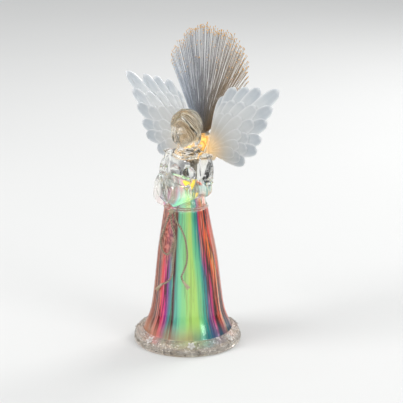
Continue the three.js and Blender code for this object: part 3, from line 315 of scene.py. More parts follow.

# %% [markdown]
# The film inside the gown is the heart of the colour. A real one splits light by angle: here its
# colour runs round the cone in upright bands, red and magenta on the angel's right, mint and
# yellow-green in front, teal, magenta and orange on the left. A ramp over the turn angle paints
# them, with near-black stops for painted shade at the pleat lines, and a second ramp says how strongly
# thin lines of painted shade and highlight along the pleats cut the bands. The gown's wall, the belt,
# the top of the base and the figure's hem pick up the same colours as painted reflection and glow, so
# they are a node group too.

# %% Bands round the cone: degrees from the photo's own front towards the angel's left, and colour
# the near-black stops are painted shade at pleat lines
FILM_BANDS = [
    (-180, (0.5, 0.1, 0.3)), (-158, (0.75, 0.12, 0.16)), (-136, (0.08, 0.42, 0.42)), (-112, (0.5, 0.3, 0.08)),
    (-90, (0.4, 0.14, 0.1)), (-76, (0.5, 0.2, 0.14)), (-67, (0.12, 0.04, 0.04)), (-59, (0.6, 0.16, 0.1)),
    (-51, (0.88, 0.12, 0.12)), (-45, (0.8, 0.05, 0.28)), (-39, (0.45, 0.07, 0.42)), (-35, (0.08, 0.36, 0.42)),
    (-30.5, (0.3, 0.7, 0.45)), (-27.5, (0.1, 0.02, 0.03)), (-24.5, (0.16, 0.03, 0.05)),
    (-22, (0.16, 0.58, 0.5)), (-13, (0.3, 0.78, 0.5)), (-4, (0.42, 0.82, 0.38)), (4, (0.6, 0.85, 0.26)),
    (15, (0.56, 0.84, 0.26)), (23, (0.28, 0.74, 0.36)), (31, (0.07, 0.5, 0.38)), (38.5, (0.03, 0.27, 0.38)),
    (43, (0.34, 0.05, 0.3)), (48, (0.78, 0.06, 0.2)), (53, (0.03, 0.02, 0.015)), (59, (0.8, 0.12, 0.05)),
    (66, (0.95, 0.26, 0.03)), (74, (0.85, 0.42, 0.05)), (80, (0.12, 0.04, 0.02)), (90, (0.8, 0.15, 0.06)),
    (150, (0.1, 0.4, 0.35)),
]
LINE_STRENGTH = [(-180, 0.7), (-40, 0.9), (-22, 0.25), (22, 0.15), (42, 0.8), (55, 1.0), (100, 1.0),
                 (180, 0.7)]
VIEW_TURN = 32  # degrees from the angel's front to the photo's own front
STREAK_REACH = 0.05  # share of a full turn by which streaks move the bands
STREAK_SHIFT = 9  # degrees of that on average


def ramp_of(tree, source, stops):
    """The colour that a ramp gives for a number; up to thirty-two stops."""
    ramp = tree.nodes.new("ShaderNodeValToRGB")
    marks = ramp.color_ramp.elements
    marks[0].position, marks[0].color = stops[0][0], (*stops[0][1], 1)
    marks[1].position, marks[1].color = stops[-1][0], (*stops[-1][1], 1)
    for position, colour in stops[1:-1]:
        marks.new(position).color = (*colour, 1)
    feed(tree, ramp.inputs[0], source)
    return ramp.outputs[0]


print("bands of the film:", len(FILM_BANDS))

# %% Streaks that run straight up a cone: the same streaks, read at one distance from its axis
CONE_DISTANCE = 0.036  # metres
cone_group, cone_in, cone_out = group_of(
    "cone_streaks",
    [("Place", "vector", None), ("Fineness", "value", 260.0), ("Stretch", "value", 0.06)],
    [("Streak", "value")],
)


def streaks_of(tree, place, fineness, stretch, group=streak_group):
    feeds = {"Place": place, "Fineness": fineness, "Stretch": stretch}
    return node_of(tree, "ShaderNodeGroup", feeds, node_tree=group).outputs["Streak"]


cone_at = split_of(cone_group, cone_in["Place"])
cone_flat = joined(cone_group, cone_at["X"], cone_at["Y"], 0)
cone_way = node_of(cone_group, "ShaderNodeVectorMath", {0: cone_flat}, operation="NORMALIZE").outputs[0]
cone_edge = node_of(cone_group, "ShaderNodeVectorMath", {0: cone_way, "Scale": CONE_DISTANCE},
                    operation="SCALE").outputs[0]
edge_at = split_of(cone_group, cone_edge)
cone_place = joined(cone_group, edge_at["X"], edge_at["Y"], cone_at["Z"])
cone_streak = streaks_of(cone_group, cone_place, cone_in["Fineness"], cone_in["Stretch"])
feed(cone_group, cone_out["Streak"], cone_streak)

# %% Film colours as a shared group: above, the bands of the left side crowd towards the front
colour_group, colour_in, colour_out = group_of(
    "film_colours",
    [("Place", "vector", None)],
    [("Colour", "colour"), ("Lines", "value"), ("Turn", "value")],
)
to_front = math.radians(90 - VIEW_TURN - STREAK_SHIFT)
turned_place = node_of(colour_group, "ShaderNodeMapping",
                       {"Vector": colour_in["Place"], "Rotation": (0, 0, to_front)})
even_turn = node_of(colour_group, "ShaderNodeTexGradient", {"Vector": turned_place.outputs["Vector"]},
                    gradient_type="RADIAL")
band_streaks = streaks_of(colour_group, colour_in["Place"], 170, 0.05, cone_group)
jitter = maths(colour_group, "MULTIPLY_ADD", band_streaks, STREAK_REACH, even_turn.outputs["Fac"])
crowd = share_of(colour_group, height_in(colour_group, colour_in["Place"]), 0.055, 0.13, 0.6)
left_part = maths(colour_group, "MAXIMUM", maths(colour_group, "SUBTRACT", jitter, 0.5), 0.0)
turn_value = maths(colour_group, "MULTIPLY_ADD", left_part, crowd, jitter)
bands = ramp_of(colour_group, turn_value, [(0.5 + at / 360, colour) for at, colour in FILM_BANDS])
lines = ramp_of(colour_group, turn_value, [(0.5 + at / 360, (value,) * 3) for at, value in LINE_STRENGTH])
feed(colour_group, colour_out["Colour"], bands)
feed(colour_group, colour_out["Lines"], lines)
feed(colour_group, colour_out["Turn"], turn_value)


def colours_in(tree):
    """The film's colours at the place on the piece."""
    feeds = {"Place": tree.nodes["place"].outputs["Object"]}
    return node_of(tree, "ShaderNodeGroup", feeds, node_tree=colour_group).outputs


print("effects by now:", [tree.name for tree in bpy.data.node_groups])

# %% Film: painted shade and highlight lines along the pleats, a blue or peach foot and a crinkled upper side
film = finish_of("iridescent_film", (0.4, 0.8, 0.5), bump=0.12, ripple=25, Roughness=0.22, Metallic=0.2)
film_tree, film_sockets, film_place = parts_of(film)
film_height = height_in(film_tree, film_place)
film_bands = colours_in(film_tree)
film_turn = film_bands["Turn"]  # 0.5 at the photo's own front, and a turn of 1 all round


def both(first, second):
    """A share where two shares of the film meet."""
    return maths(film_tree, "MULTIPLY", first, second)


# thin dark lines are painted shade and pale lines are painted highlights along the pleats
pleat_shade_streaks = streaks_of(film_tree, film_place, 430, 0.05, cone_group)
pleat_highlight_streaks = streaks_of(film_tree, film_place, 380, 0.06, cone_group)
crinkle = streaks_of(film_tree, film_place, 480, 0.55, cone_group)
pleat_shade_line = both(share_of(film_tree, pleat_shade_streaks, 0.53, 0.58), film_bands["Lines"])
pleat_highlight_line = both(share_of(film_tree, pleat_highlight_streaks, 0.44, 0.37, 0.6), film_bands["Lines"])
right_side = both(share_of(film_tree, film_turn, 0.445, 0.41), share_of(film_tree, film_turn, 0.2, 0.26))
right_upper = both(right_side, share_of(film_tree, film_height, 0.078, 0.1, 0.8))
left_upper = both(share_of(film_tree, film_turn, 0.61, 0.65),
                  share_of(film_tree, film_height, 0.09, 0.115, 0.65))
foot = share_of(film_tree, film_height, 0.03, 0.01, 0.7)
foot_tone = blended(film_tree, share_of(film_tree, film_turn, 0.49, 0.55), (0.75, 0.45, 0.3),
                    (0.03, 0.22, 0.36))
crinkle_tone = blended(film_tree, share_of(film_tree, crinkle, 0.42, 0.58), (0.24, 0.07, 0.05),
                       (0.78, 0.38, 0.27))
film_tone = film_bands["Colour"]
for share, painted in ((left_upper, (0.9, 0.1, 0.07)), (pleat_highlight_line, (0.85, 0.5, 0.36)),
                       (pleat_shade_line, (0.05, 0.022, 0.02)), (right_upper, crinkle_tone), (foot, foot_tone)):
    film_tone = blended(film_tree, share, film_tone, painted)
feed(film_tree, film_sockets["Base Color"], film_tone)
# the film glows faintly in its own colours: painted light of the lamps inside the gown
glow(film, film_tone, 0.28)
print("the film's finish has", len(film_tree.nodes), "nodes")

# %% [markdown]
# The pieces that lie against the film pick up its colours. In the gown's wall they are a painted
# reflection that tints the plastic, and in the belt and the gown's uppermost edge they are a faint
# light. The crumpled ice of the base has painted shade as dark flecks, a faint painted glow with bright
# glints, brown layers, and a painted reflection of the film's colours at the top of its bank.

# %% The gown's wall and the belt
gown_tree, gown_sockets, gown_place = parts_of(gown_clear)
gown_height = height_in(gown_tree, gown_place)
above_film = share_of(gown_tree, gown_height, 0.133, 0.136, 0.6)
# the wall's tint is a painted reflection of the film's colours, white above the film
film_reflection_tint = blended(gown_tree, above_film, colours_in(gown_tree)["Colour"], WHITE)
feed(gown_tree, gown_sockets["Base Color"], blended(gown_tree, 0.3, own_tone(gown_tree), film_reflection_tint))


def lit_by_film(material, share, strength, whitened=0.2):
    """The film's light in a clear wall: its colours, whitened, glow where share says."""
    tree = material.node_tree
    light = blended(tree, whitened, colours_in(tree)["Colour"], WHITE)
    glow(material, blended(tree, share, BLACK, light), strength)


lit_by_film(gown_clear, share_of(gown_tree, gown_height, 0.1335, 0.137), 0.09)
lit_by_film(belt_clear, 1.0, 0.07)
print("the film lights", gown_clear.name, "and", belt_clear.name)

# %% The ice of the base
base_tree, base_sockets, base_place = parts_of(base_clear)
# painted reflection of the film's colours at the top of the bank
bank_reflection_share = share_of(base_tree, height_in(base_tree, base_place), 0.0085, 0.012, 0.5)
ice_film_reflection = blended(base_tree, 0.3, colours_in(base_tree)["Colour"], (1.0, 0.9, 0.8))
layers = share_of(base_tree, streaks_of(base_tree, base_place, 110, 4), 0.5, 0.6, 0.6)
# one noise gives dark flecks of painted shade and bright glints of painted light
shade_and_glint_noise = noise_in(base_tree, base_place, 260)
base_tone = blended(base_tree, bank_reflection_share, own_tone(base_tree), ice_film_reflection)
base_tone = blended(base_tree, layers, base_tone, (0.5, 0.38, 0.24))
base_tone = blended(base_tree, share_of(base_tree, shade_and_glint_noise, 0.61, 0.66, 0.75), base_tone, (0.06, 0.05, 0.045))
feed(base_tree, base_sockets["Base Color"], base_tone)
# a faint painted glow over the ice, bright at the glints
painted_glow_and_glints = blended(base_tree, share_of(base_tree, shade_and_glint_noise, 0.37, 0.32), (0.2, 0.18, 0.16), (0.9, 0.87, 0.82))
glow(base_clear, painted_glow_and_glints, 0.3)
print("the ice has", len(base_tree.nodes), "nodes")

# %% [markdown]
# The wings are frosted: light scatters in them, so a single feather tip is bluish and see-through
# and layers turn white. Their rims and shafts carry painted highlights, and their roots a painted
# golden glow. The fibres are clear strands with cut golden tips. The lamps are yellow epoxy that
# glows.

# %% Frosted feathers
def read_mark(tree, name):
    """Reads a number that the piece keeps at each of its points."""
    return node_of(tree, "ShaderNodeAttribute", {}, attribute_name=name).outputs["Fac"]


frosted = finish_of("frosted_feather", (0.86, 0.88, 0.9), bump=0.25, ripple=300, grain=1500, Roughness=0.5,
                    Transmission_Weight=0.3, IOR=1.45)
frost_tree, frost_sockets, frost_place = parts_of(frosted)
layered = ramp_of(frost_tree, read_mark(frost_tree, "thin"), [
    (0.0, (0.78, 0.78, 0.75)), (0.45, (0.7, 0.73, 0.74)), (0.75, (0.5, 0.56, 0.61)),
    (1.0, (0.42, 0.48, 0.54)),
])
cloudy = speckled(frost_tree, frost_place, layered, (0.93, 0.93, 0.92), 90, 0.5).outputs["Colour"]
# painted highlight on the feathers' rims and shafts
feather_tone = blended(frost_tree, read_mark(frost_tree, "rim_highlight"), cloudy, (0.98, 0.99, 1.0))
# painted golden glow of the lamp near the wing roots: a tint and a faint light
root_glow_share = read_mark(frost_tree, "painted_root_glow")
feather_tone = blended(frost_tree, root_glow_share, feather_tone, (1.0, 0.84, 0.58))
feed(frost_tree, frost_sockets["Base Color"], feather_tone)
glow(frosted, blended(frost_tree, root_glow_share, BLACK, (1.0, 0.62, 0.22)), 0.3)
print("the frost has", len(frost_tree.nodes), "nodes")

# %% Fibres and lamps
fibre_finish = finish_of("fibre_strand", (0.8, 0.82, 0.84), bump=0, Roughness=0.12, Transmission_Weight=0.8,
                         IOR=1.4)
fibre_tree, fibre_sockets, _ = parts_of(fibre_finish)
feed(fibre_tree, fibre_sockets["Base Color"], ramp_of(fibre_tree, read_mark(fibre_tree, "tone"), [
    (0.0, (0.95, 0.98, 1.0)), (0.14, (0.88, 0.93, 1.0)), (0.24, (0.62, 0.65, 0.7)), (0.5, (0.56, 0.56, 0.58)),
    (0.75, (0.56, 0.47, 0.37)), (1.0, (0.66, 0.47, 0.25)),
]))
fibre_tip = finish_of("fibre_tip", (0.5, 0.24, 0.01), drift=(0.3, 0.12, 0.005), drift_scale=300, bump=0,
                      Roughness=0.3)
glow(fibre_tip, (0.8, 0.42, 0.02), 0.3)
bundle_finish = finish_of("fibre_bundle", (0.9, 0.86, 0.78), drift=(0.75, 0.66, 0.52), drift_scale=200,
                          bump=0.2, Roughness=0.15, Transmission_Weight=0.75)
bundle_tree, _, bundle_place = parts_of(bundle_finish)
lit = share_of(bundle_tree, height_in(bundle_tree, bundle_place), 0.183, 0.19)
uneven = share_of(bundle_tree, streaks_of(bundle_tree, bundle_place, 420, 0.6), 0.44, 0.56)
bundle_glow = blended(bundle_tree, uneven, (0.3, 0.13, 0.02), (1.0, 0.66, 0.2))
glow(bundle_finish, blended(bundle_tree, lit, BLACK, bundle_glow), 0.36)
lamp_yellow = finish_of("lamp_yellow", (0.9, 0.68, 0.05), drift=(0.82, 0.56, 0.03), drift_scale=250,
                        bump=0.05, Roughness=0.15, Coat_Weight=0.6)
glow(lamp_yellow, (0.98, 0.72, 0.03), 1.3)
lamp_clear = finish_of("lamp_clear", (0.95, 0.95, 0.9), drift=(0.9, 0.9, 0.8), bump=0.05, Roughness=0.06,
                       Transmission_Weight=0.9)
glow(lamp_clear, (1.0, 0.93, 0.7), 0.6)
print("finishes so far:", len(bpy.data.materials))

# %% Plastics and metals under the base
tray_plastic = finish_of("tray_plastic", (0.82, 0.82, 0.8), drift=(0.72, 0.72, 0.69), drift_scale=60,
                         bump=0.3, ripple=900, grain=3000, grain_share=0.6, Roughness=0.42)
door_plastic = finish_of("door_plastic", (0.84, 0.84, 0.82), drift=(0.74, 0.74, 0.71), drift_scale=60,
                         bump=0.35, ripple=1100, grain=3200, grain_share=0.6, Roughness=0.45)
cell_jacket = finish_of("cell_jacket", (0.55, 0.56, 0.58), drift=(0.42, 0.43, 0.45), drift_scale=150,
                        bump=0.1, Roughness=0.3, Metallic=0.85)
contact_steel = finish_of("contact_steel", (0.72, 0.71, 0.68), drift=(0.5, 0.48, 0.44), drift_scale=260,
                          bump=0.15, Roughness=0.25, Metallic=1.0)
switch_black = finish_of("switch_black", (0.03, 0.03, 0.032), drift=(0.06, 0.06, 0.065), drift_scale=300,
                         bump=0.3, ripple=1200, Roughness=0.4)
chip_black = finish_of("chip_black", (0.02, 0.02, 0.022), drift=(0.05, 0.05, 0.05), drift_scale=700,
                       bump=0.25, ripple=2400, Roughness=0.5)
board_green = finish_of("board_green", (0.03, 0.2, 0.07), drift=(0.05, 0.32, 0.11), drift_scale=220,
                        bump=0.2, ripple=420, Roughness=0.3, Coat_Weight=0.4)
resistor_body = finish_of("resistor_body", (0.05, 0.05, 0.06), drift=(0.5, 0.5, 0.5), drift_scale=900,
                          bump=0.1, Roughness=0.4)
lead_cover = finish_of("lead_cover", (0.8, 0.8, 0.8), drift=(0.7, 0.69, 0.66), drift_scale=120,
                       bump=0.15, Roughness=0.4, Transmission_Weight=0.2)
print("finishes:", len(bpy.data.materials))

# %% [markdown]
# ## From a bmesh to a piece
#
# Shapes are made in millimetres. One helper turns a finished bmesh into a piece: it scales to
# metres, points the faces outwards, marks the sharp edges, and lets the piece ride on its body.

# %% The finishing helper
def piece_of(name, shape, material, replaces=(), body=ANGEL, sharp=40, more=()):
    """Turns a shape into a piece on its body, in place of the nodes it replaces."""
    bmesh.ops.recalc_face_normals(shape, faces=shape.faces)
    bmesh.ops.scale(shape, vec=(MM, MM, MM), verts=shape.verts)
    mesh = bpy.data.meshes.new(name)
    shape.to_mesh(mesh)
    shape.free()
    for finish in (material, *more):
        mesh.materials.append(finish)
    mesh.shade_smooth()
    mesh.set_sharp_from_angle(angle=math.radians(sharp))
    piece = bpy.data.objects.new(name, mesh)
    bpy.context.scene.collection.objects.link(piece)
    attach(piece, body)
    if replaces:
        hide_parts(*replaces)
    print(name, "has", len(mesh.polygons), "faces")
    return piece


def turned(profile, steps, closed=False):
    """A profile of (radius, height) spun about the upright axis."""
    shape = bmesh.new()
    verts = [shape.verts.new((radius, 0, height)) for radius, height in profile]
    edges = [shape.edges.new(pair) for pair in zip(verts, verts[1:])]
    if closed:
        edges.append(shape.edges.new((verts[-1], verts[0])))
    bmesh.ops.spin(shape, geom=verts + edges, cent=(0, 0, 0), axis=(0, 0, 1), angle=2 * math.pi,
                   steps=steps, use_merge=True)
    bmesh.ops.remove_doubles(shape, verts=shape.verts, dist=0.001)
    return shape


def add_into(shape, other):
    """Moves the other bmesh's geometry into shape."""
    carrier = bpy.data.meshes.new("carrier")
    other.to_mesh(carrier)
    other.free()
    shape.from_mesh(carrier)
    bpy.data.meshes.remove(carrier)


def smooth_value(rows, at):
    """A smooth curve through rows of (place, value), read at a place."""
    last = len(rows) - 1
    if at <= rows[0][0]:
        return rows[0][1]
    if at >= rows[last][0]:
        return rows[last][1]
    low = max(i for i in range(last) if rows[i][0] <= at)

    def slope(i):
        before, after = max(0, i - 1), min(last, i + 1)
        return (rows[after][1] - rows[before][1]) / (rows[after][0] - rows[before][0])

    (start, first), (end, second) = rows[low], rows[low + 1]
    span = end - start
    t = (at - start) / span
    return ((2 * t**3 - 3 * t**2 + 1) * first + (t**3 - 2 * t**2 + t) * span * slope(low)
            + (3 * t**2 - 2 * t**3) * second + (t**3 - t**2) * span * slope(low + 1))


def rising(value, start, end):
    """A share that goes straight from 0 to 1 while the value goes from start to end."""
    return min(1, max(0, (value - start) / (end - start)))


def round_angles(count):
    """The angles of a full circle, with the last one back at the first."""
    return [2 * math.pi * i / count for i in range(count + 1)]


def mirror(shape):
    """Moves a shape to the other side of the body."""
    bmesh.ops.scale(shape, vec=(-1, 1, 1), verts=shape.verts)
    bmesh.ops.reverse_faces(shape, faces=shape.faces)


# %% [markdown]
# ## The gown
#
# The real gown is one clear moulding with a wall of 1.6 mm, pleated all round, wide at the hem
# and narrow at the waist. A closed wall profile is spun, and then each point moves out or in by
# the pleats, which fade towards the waist. Finer folds only cut in, so the gown keeps its size.

# %% Gown sizes
GOWN_BOTTOM, GOWN_HEIGHT, GOWN_WALL = 6.2, 132.8, 1.6
HEM_RADIUS, WAIST_RADIUS, WAIST_LEAN = 47, 20.4, -2
FLUTE_DEPTH, FLUTE_COUNT = 1.1, 10
GOWN_SHARES = [(0, 1), (0.04, 0.85), (0.085, 0.765), (0.165, 0.605), (0.245, 0.52),
               (0.4, 0.425), (0.64, 0.295), (0.79, 0.171), (0.91, 0.075), (1, 0)]
GOWN_TOP = GOWN_BOTTOM + GOWN_HEIGHT
LIP_RADIUS, LIP_THICKNESS = 13, 1.6


def gown_share(height):
    return rising(height, GOWN_BOTTOM, GOWN_TOP)


def gown_radius(height):
    return WAIST_RADIUS + (HEM_RADIUS - WAIST_RADIUS) * smooth_value(GOWN_SHARES, gown_share(height))


def gown_lean(height):
    upper = rising(gown_share(height), 0.5, 1)
    return WAIST_LEAN * upper * upper * (3 - 2 * upper)


def flute(angle, height):
    return FLUTE_DEPTH * math.sqrt(1 - gown_share(height)) * math.cos(FLUTE_COUNT * angle)


# Sharp pleat lines: degrees from the photo's own front, and depth
GROOVES = [(-74, 0.5), (-63, 0.6), (-48, 0.4), (-29, 0.7), (50, 0.5), (57, 0.7), (66, 0.6), (76, 0.5),
           (104, 0.6), (131, 0.5), (160, 0.6), (-108, 0.6), (-135, 0.5), (-161, 0.6)]


def fold(angle, height):
    """Fine folds and sharp pleat lines, always inwards."""
    drift = 0.5 * math.sin(3 * angle) + 0.02 * height
    fine = 0.5 - 0.5 * math.cos(37 * angle + drift)
    broad = 0.5 - 0.5 * math.cos(23 * angle - 1.7 * drift)
    even = -(0.28 * fine + 0.3 * broad) * (0.35 + 0.65 * math.sqrt(1 - gown_share(height)))
    degrees = math.degrees(angle) + 90 - VIEW_TURN
    cuts = sum(depth * math.exp(-((degrees - at + 180) % 360 - 180) ** 2 / 2.2) for at, depth in GROOVES)
    return even - cuts


def on_gown(degrees, share, out):
    """A point on the gown, turned from the front towards the angel's left."""
    height = GOWN_BOTTOM + share * GOWN_HEIGHT
    radius = gown_radius(height) + out
    angle = math.radians(degrees)
    return Vector((radius * math.sin(angle), gown_lean(height) - radius * math.cos(angle), height))


print("the gown goes from", GOWN_BOTTOM, "to", GOWN_TOP, "mm")


# %% Gown wall
ROWS = 64
FILM_GAP, FILM_THICKNESS = 0.55, 0.4
filled_wall = GOWN_WALL + FILM_GAP + 1.5 * FILM_THICKNESS  # the wall, drawn so thick that it holds the film
heights = [GOWN_BOTTOM + GOWN_HEIGHT * (row / ROWS) ** 1.15 for row in range(ROWS + 1)]
outer = [(gown_radius(height), height) for height in heights]
inner = [(gown_radius(height) - filled_wall, height) for height in heights[:-2]][::-1]
under_lip = GOWN_TOP - LIP_THICKNESS
lip = [(LIP_RADIUS, GOWN_TOP), (LIP_RADIUS, under_lip), (gown_radius(under_lip) - filled_wall, under_lip)]
gown = turned(outer + lip + inner, 200, closed=True)
for vert in gown.verts:
    radius = math.hypot(vert.co.x, vert.co.y)
    angle = math.atan2(vert.co.y, vert.co.x)
    outside = radius > gown_radius(vert.co.z) - GOWN_WALL / 2
    reach = radius + flute(angle, vert.co.z) * (radius > LIP_RADIUS + 0.1)
    reach += fold(angle, vert.co.z) * outside
    vert.co.x *= reach / radius
    vert.co.y *= reach / radius
    vert.co.y += gown_lean(vert.co.z)
piece_of("gown_wall", gown, gown_clear, ["gown_shell"])

# %% [markdown]
# The film cone is a thin sheet rolled up, so its profile is two close lines joined at both ends. It
# follows the pleats, with small upright creases of its own, which only go inwards. The gap between
# it and the wall is drawn filled: light that meets a gap at a low angle turns back, and would hide
# the film at the gown's sides.

# %% Film cone
FILM_DROP, SLIP = 3.6, 0.3
film_top = GOWN_TOP - FILM_DROP
film_heights = [height for height in heights if height < film_top - 0.5] + [film_top]
film_out = [(gown_radius(z) - GOWN_WALL - FILM_GAP, z) for z in film_heights]
film_in = [(radius - FILM_THICKNESS, z) for radius, z in film_out][::-1]
cone = turned(film_out + film_in, 240, closed=True)
for vert in cone.verts:
    angle = math.atan2(vert.co.y, vert.co.x)
    radius = math.hypot(vert.co.x, vert.co.y)
    crease = 1 - abs(math.sin(13.5 * angle + 0.9 * math.sin(2 * angle) + 0.004 * vert.co.z)) ** 0.7
    crease += 0.6 * (1 - abs(math.sin(31 * angle + 0.7 * math.sin(5 * angle)))) ** 2
    grown = (radius + flute(angle, vert.co.z) - 0.22 * crease) / radius
    vert.co = Vector((vert.co.x * grown, vert.co.y * grown + gown_lean(vert.co.z), vert.co.z))
piece_of("film_cone", cone, film, ["iridescent_film"], sharp=80)

# %% [markdown]
# ## Rope belt, tails and tassels
#
# The belt is a twisted cord moulded on the gown: two strands that wind round one another. A
# tube is a disc that is pushed along a path, and each strand's path circles the cord's own line.

# %% Tubes and paths
def tube(points, radii, sides=6):
    """A closed tube: a disc extruded from point to point, its ends capped."""
    shape = bmesh.new()
    ahead = (points[1] - points[0]).normalized()
    turn = ahead.to_track_quat("Z", "Y")
    bmesh.ops.create_circle(shape, cap_ends=True, segments=sides, radius=radii[0],
                            matrix=Matrix.LocRotScale(points[0], turn, None))
    cap = shape.faces[:]
    for i in range(1, len(points)):
        last = ahead
        nearby = points[min(i + 1, len(points) - 1)] - points[i - 1]
        ahead = nearby.normalized()
        grown = bmesh.ops.extrude_face_region(shape, geom=cap)["geom"]
        verts = [part for part in grown if isinstance(part, bmesh.types.BMVert)]
        cap = [part for part in grown if isinstance(part, bmesh.types.BMFace)]
        step = (Matrix.Translation(points[i]) @ last.rotation_difference(ahead).to_matrix().to_4x4()
                @ Matrix.Scale(radii[i] / radii[i - 1], 4) @ Matrix.Translation(-points[i - 1]))
        bmesh.ops.transform(shape, matrix=step, verts=verts)
    return shape


def smooth_path(points, step):
    """Points every step millimetres along a smooth curve through the given points."""
    rows = [[(i, point[axis]) for i, point in enumerate(points)] for axis in range(3)]
    fine = [Vector(smooth_value(row, i / 24) for row in rows) for i in range(24 * (len(points) - 1) + 1)]
    path, left = [fine[0]], step
    for before, after in zip(fine, fine[1:]):
        length = (after - before).length
        while length >= left:
            before = before.lerp(after, left / length)
            path.append(before)
            length -= left
            left = step
        left -= length
    return path


def gown_axis(point):
    return Vector((0, gown_lean(point.z), point.z))


def twisted_cord(path, radius, pitch):
    """Two strands that wind round a path on the gown, with a mark for painted shade where they meet."""
    cord = bmesh.new()
    cord.verts.layers.float.new("groove_shade")
    step = (path[1] - path[0]).length
    line = KDTree(len(path))
    for i, point in enumerate(path):
        line.insert(point, i)
    line.balance()
    for strand in range(2):
        points = []
        for i, point in enumerate(path):
            along = path[min(i + 1, len(path) - 1)] - path[max(i - 1, 0)]
            outwards = (point - gown_axis(point)).normalized()
            side = along.normalized().cross(outwards)
            turn = 2 * math.pi * (i * step / pitch + strand / 2)
            points.append(point + 0.5 * radius * (math.cos(turn) * outwards + math.sin(turn) * side))
        wound = tube(points, [0.52 * radius] * len(points), 8)
        groove_shade = wound.verts.layers.float.new("groove_shade")
        for vert in wound.verts:
            vert[groove_shade] = min(1, max(0, 2.6 * (1 - line.find(vert.co)[2] / radius)))
        add_into(cord, wound)
    return cord


# %% Belt and tails
ROPE_RADIUS, BELT_RADIUS, ROPE_PITCH, BELT_PITCH = 1.05, 1.5, 4.8, 5.2
TAILS = {
    "near": [(-6, 0.985), (0.6, 0.966), (6.3, 0.917), (19, 0.866), (28, 0.797), (31.2, 0.735), (32.3, 0.672),
             (30.5, 0.608), (25.9, 0.556), (21.4, 0.511), (24, 0.48)],
    "far": [(-9, 0.985), (-8.8, 0.95), (-3.2, 0.874), (3.9, 0.822), (7.2, 0.745), (4.8, 0.649), (4.1, 0.552),
            (0.8, 0.493), (-7.5, 0.454), (-19, 0.428)],
    "loop": [(-11, 0.985), (-12.8, 0.955), (-21.3, 0.886), (-32, 0.796), (-37.2, 0.733), (-26, 0.68),
             (-11.6, 0.659), (-2, 0.692), (3, 0.758)],
}
rope_tree, rope_sockets, _ = parts_of(rope_clear)
# dark painted shade in the groove where the two strands meet
rope_tone = blended(rope_tree, read_mark(rope_tree, "groove_shade"), own_tone(rope_tree), (0.05, 0.025, 0.015))
feed(rope_tree, rope_sockets["Base Color"], rope_tone)
belt_round, belt_height = WAIST_RADIUS + 0.6, GOWN_TOP - 1.5 * BELT_RADIUS
belt_ring = [Vector((belt_round * math.sin(angle), WAIST_LEAN - belt_round * math.cos(angle), belt_height))
             for angle in round_angles(120)]
belt = twisted_cord(smooth_path(belt_ring, 0.55), 0.5 * BELT_RADIUS, BELT_PITCH)
piece_of("rope_belt", belt, belt_clear)
rope_ends = {}
for name, shares in TAILS.items():
    path = smooth_path([on_gown(turn, share, 0.55) for turn, share in shares], 0.5)
    rope_ends[name] = path[-1]
    piece_of("rope_tail_" + name, twisted_cord(path, ROPE_RADIUS, ROPE_PITCH), rope_clear)

# %% [markdown]
# Where the tails leave the belt there is a knot of two crossing turns, and two tails end in
# tassels. A tassel is a bound neck and a skirt of strands that spread a little.

# %% Knot and tassels
KNOT_TURN = -7.7  # degrees from the angel's front
knot_centre = on_gown(KNOT_TURN, 1 - 2 * BELT_RADIUS / GOWN_HEIGHT, 1.2)
knot = bmesh.new()
for tilt in (0.6, -0.6, 1.5):
    spin = Euler((tilt, 0.2 * tilt, math.radians(KNOT_TURN))).to_matrix()
    ring = [knot_centre + spin @ Vector((2.1 * math.cos(angle), 0.72 * math.sin(2 * angle),
                                         2.0 * math.sin(angle))) for angle in round_angles(28)]
    add_into(knot, tube(ring, [0.8] * len(ring), 7))
bmesh.ops.create_uvsphere(knot, u_segments=14, v_segments=9, radius=1.9,
                          matrix=Matrix.Translation(knot_centre))
piece_of("belt_knot", knot, rope_clear)

TASSEL_LENGTH = 8
TASSEL_TURN = {"near": 11, "far": -13}  # degrees that each tassel swings to its side
for name in ("near", "far"):
    tassel = bmesh.new()
    turn, share = TAILS[name][-1]
    down = on_gown(turn + TASSEL_TURN[name], share - TASSEL_LENGTH / GOWN_HEIGHT, 1.2) - rope_ends[name]
    out = (rope_ends[name] - gown_axis(rope_ends[name])).normalized()
    side = down.normalized().cross(out)
    for angle in round_angles(18)[:-1]:
        offset = math.cos(angle) * out + math.sin(angle) * side
        length = 0.9 + 0.1 * math.sin(5 * angle)
        reach = [(0, 0.5), (0.12, 1.1), (0.25, 0.75), (0.6, 1.3), (length, 1.75)]
        points = smooth_path([rope_ends[name] + fall * down + width * offset for fall, width in reach], 1.1)
        add_into(tassel, tube(points, [0.33] * len(points), 5))
    neck = Matrix.LocRotScale(rope_ends[name] + 0.22 * down, down.to_track_quat("Z", "Y"), (1.25, 1.25, 0.7))
    bmesh.ops.create_uvsphere(tassel, u_segments=12, v_segments=8, radius=1, matrix=neck)
    piece_of("tassel_" + name, tassel, rope_clear)

# %% [markdown]
# ## Base ring
#
# The base is a thick clear ring. Its foot is smooth, and the bank above it is moulded as crumpled
# ice, with a flower every fifty degrees or so. The bank is spun from its profile, and ridged
# noise then cuts facets into it, never outwards.

# %% Ice bank
BASE_RADIUS, RIM_HEIGHT, LEDGE_HEIGHT, FLOOR_BOTTOM, TRAY_RADIUS = 53, 13.5, 5.9, 2.9, 34.8


def wall_inside(height):
    return gown_radius(height) + FLUTE_DEPTH + SLIP + 0.15


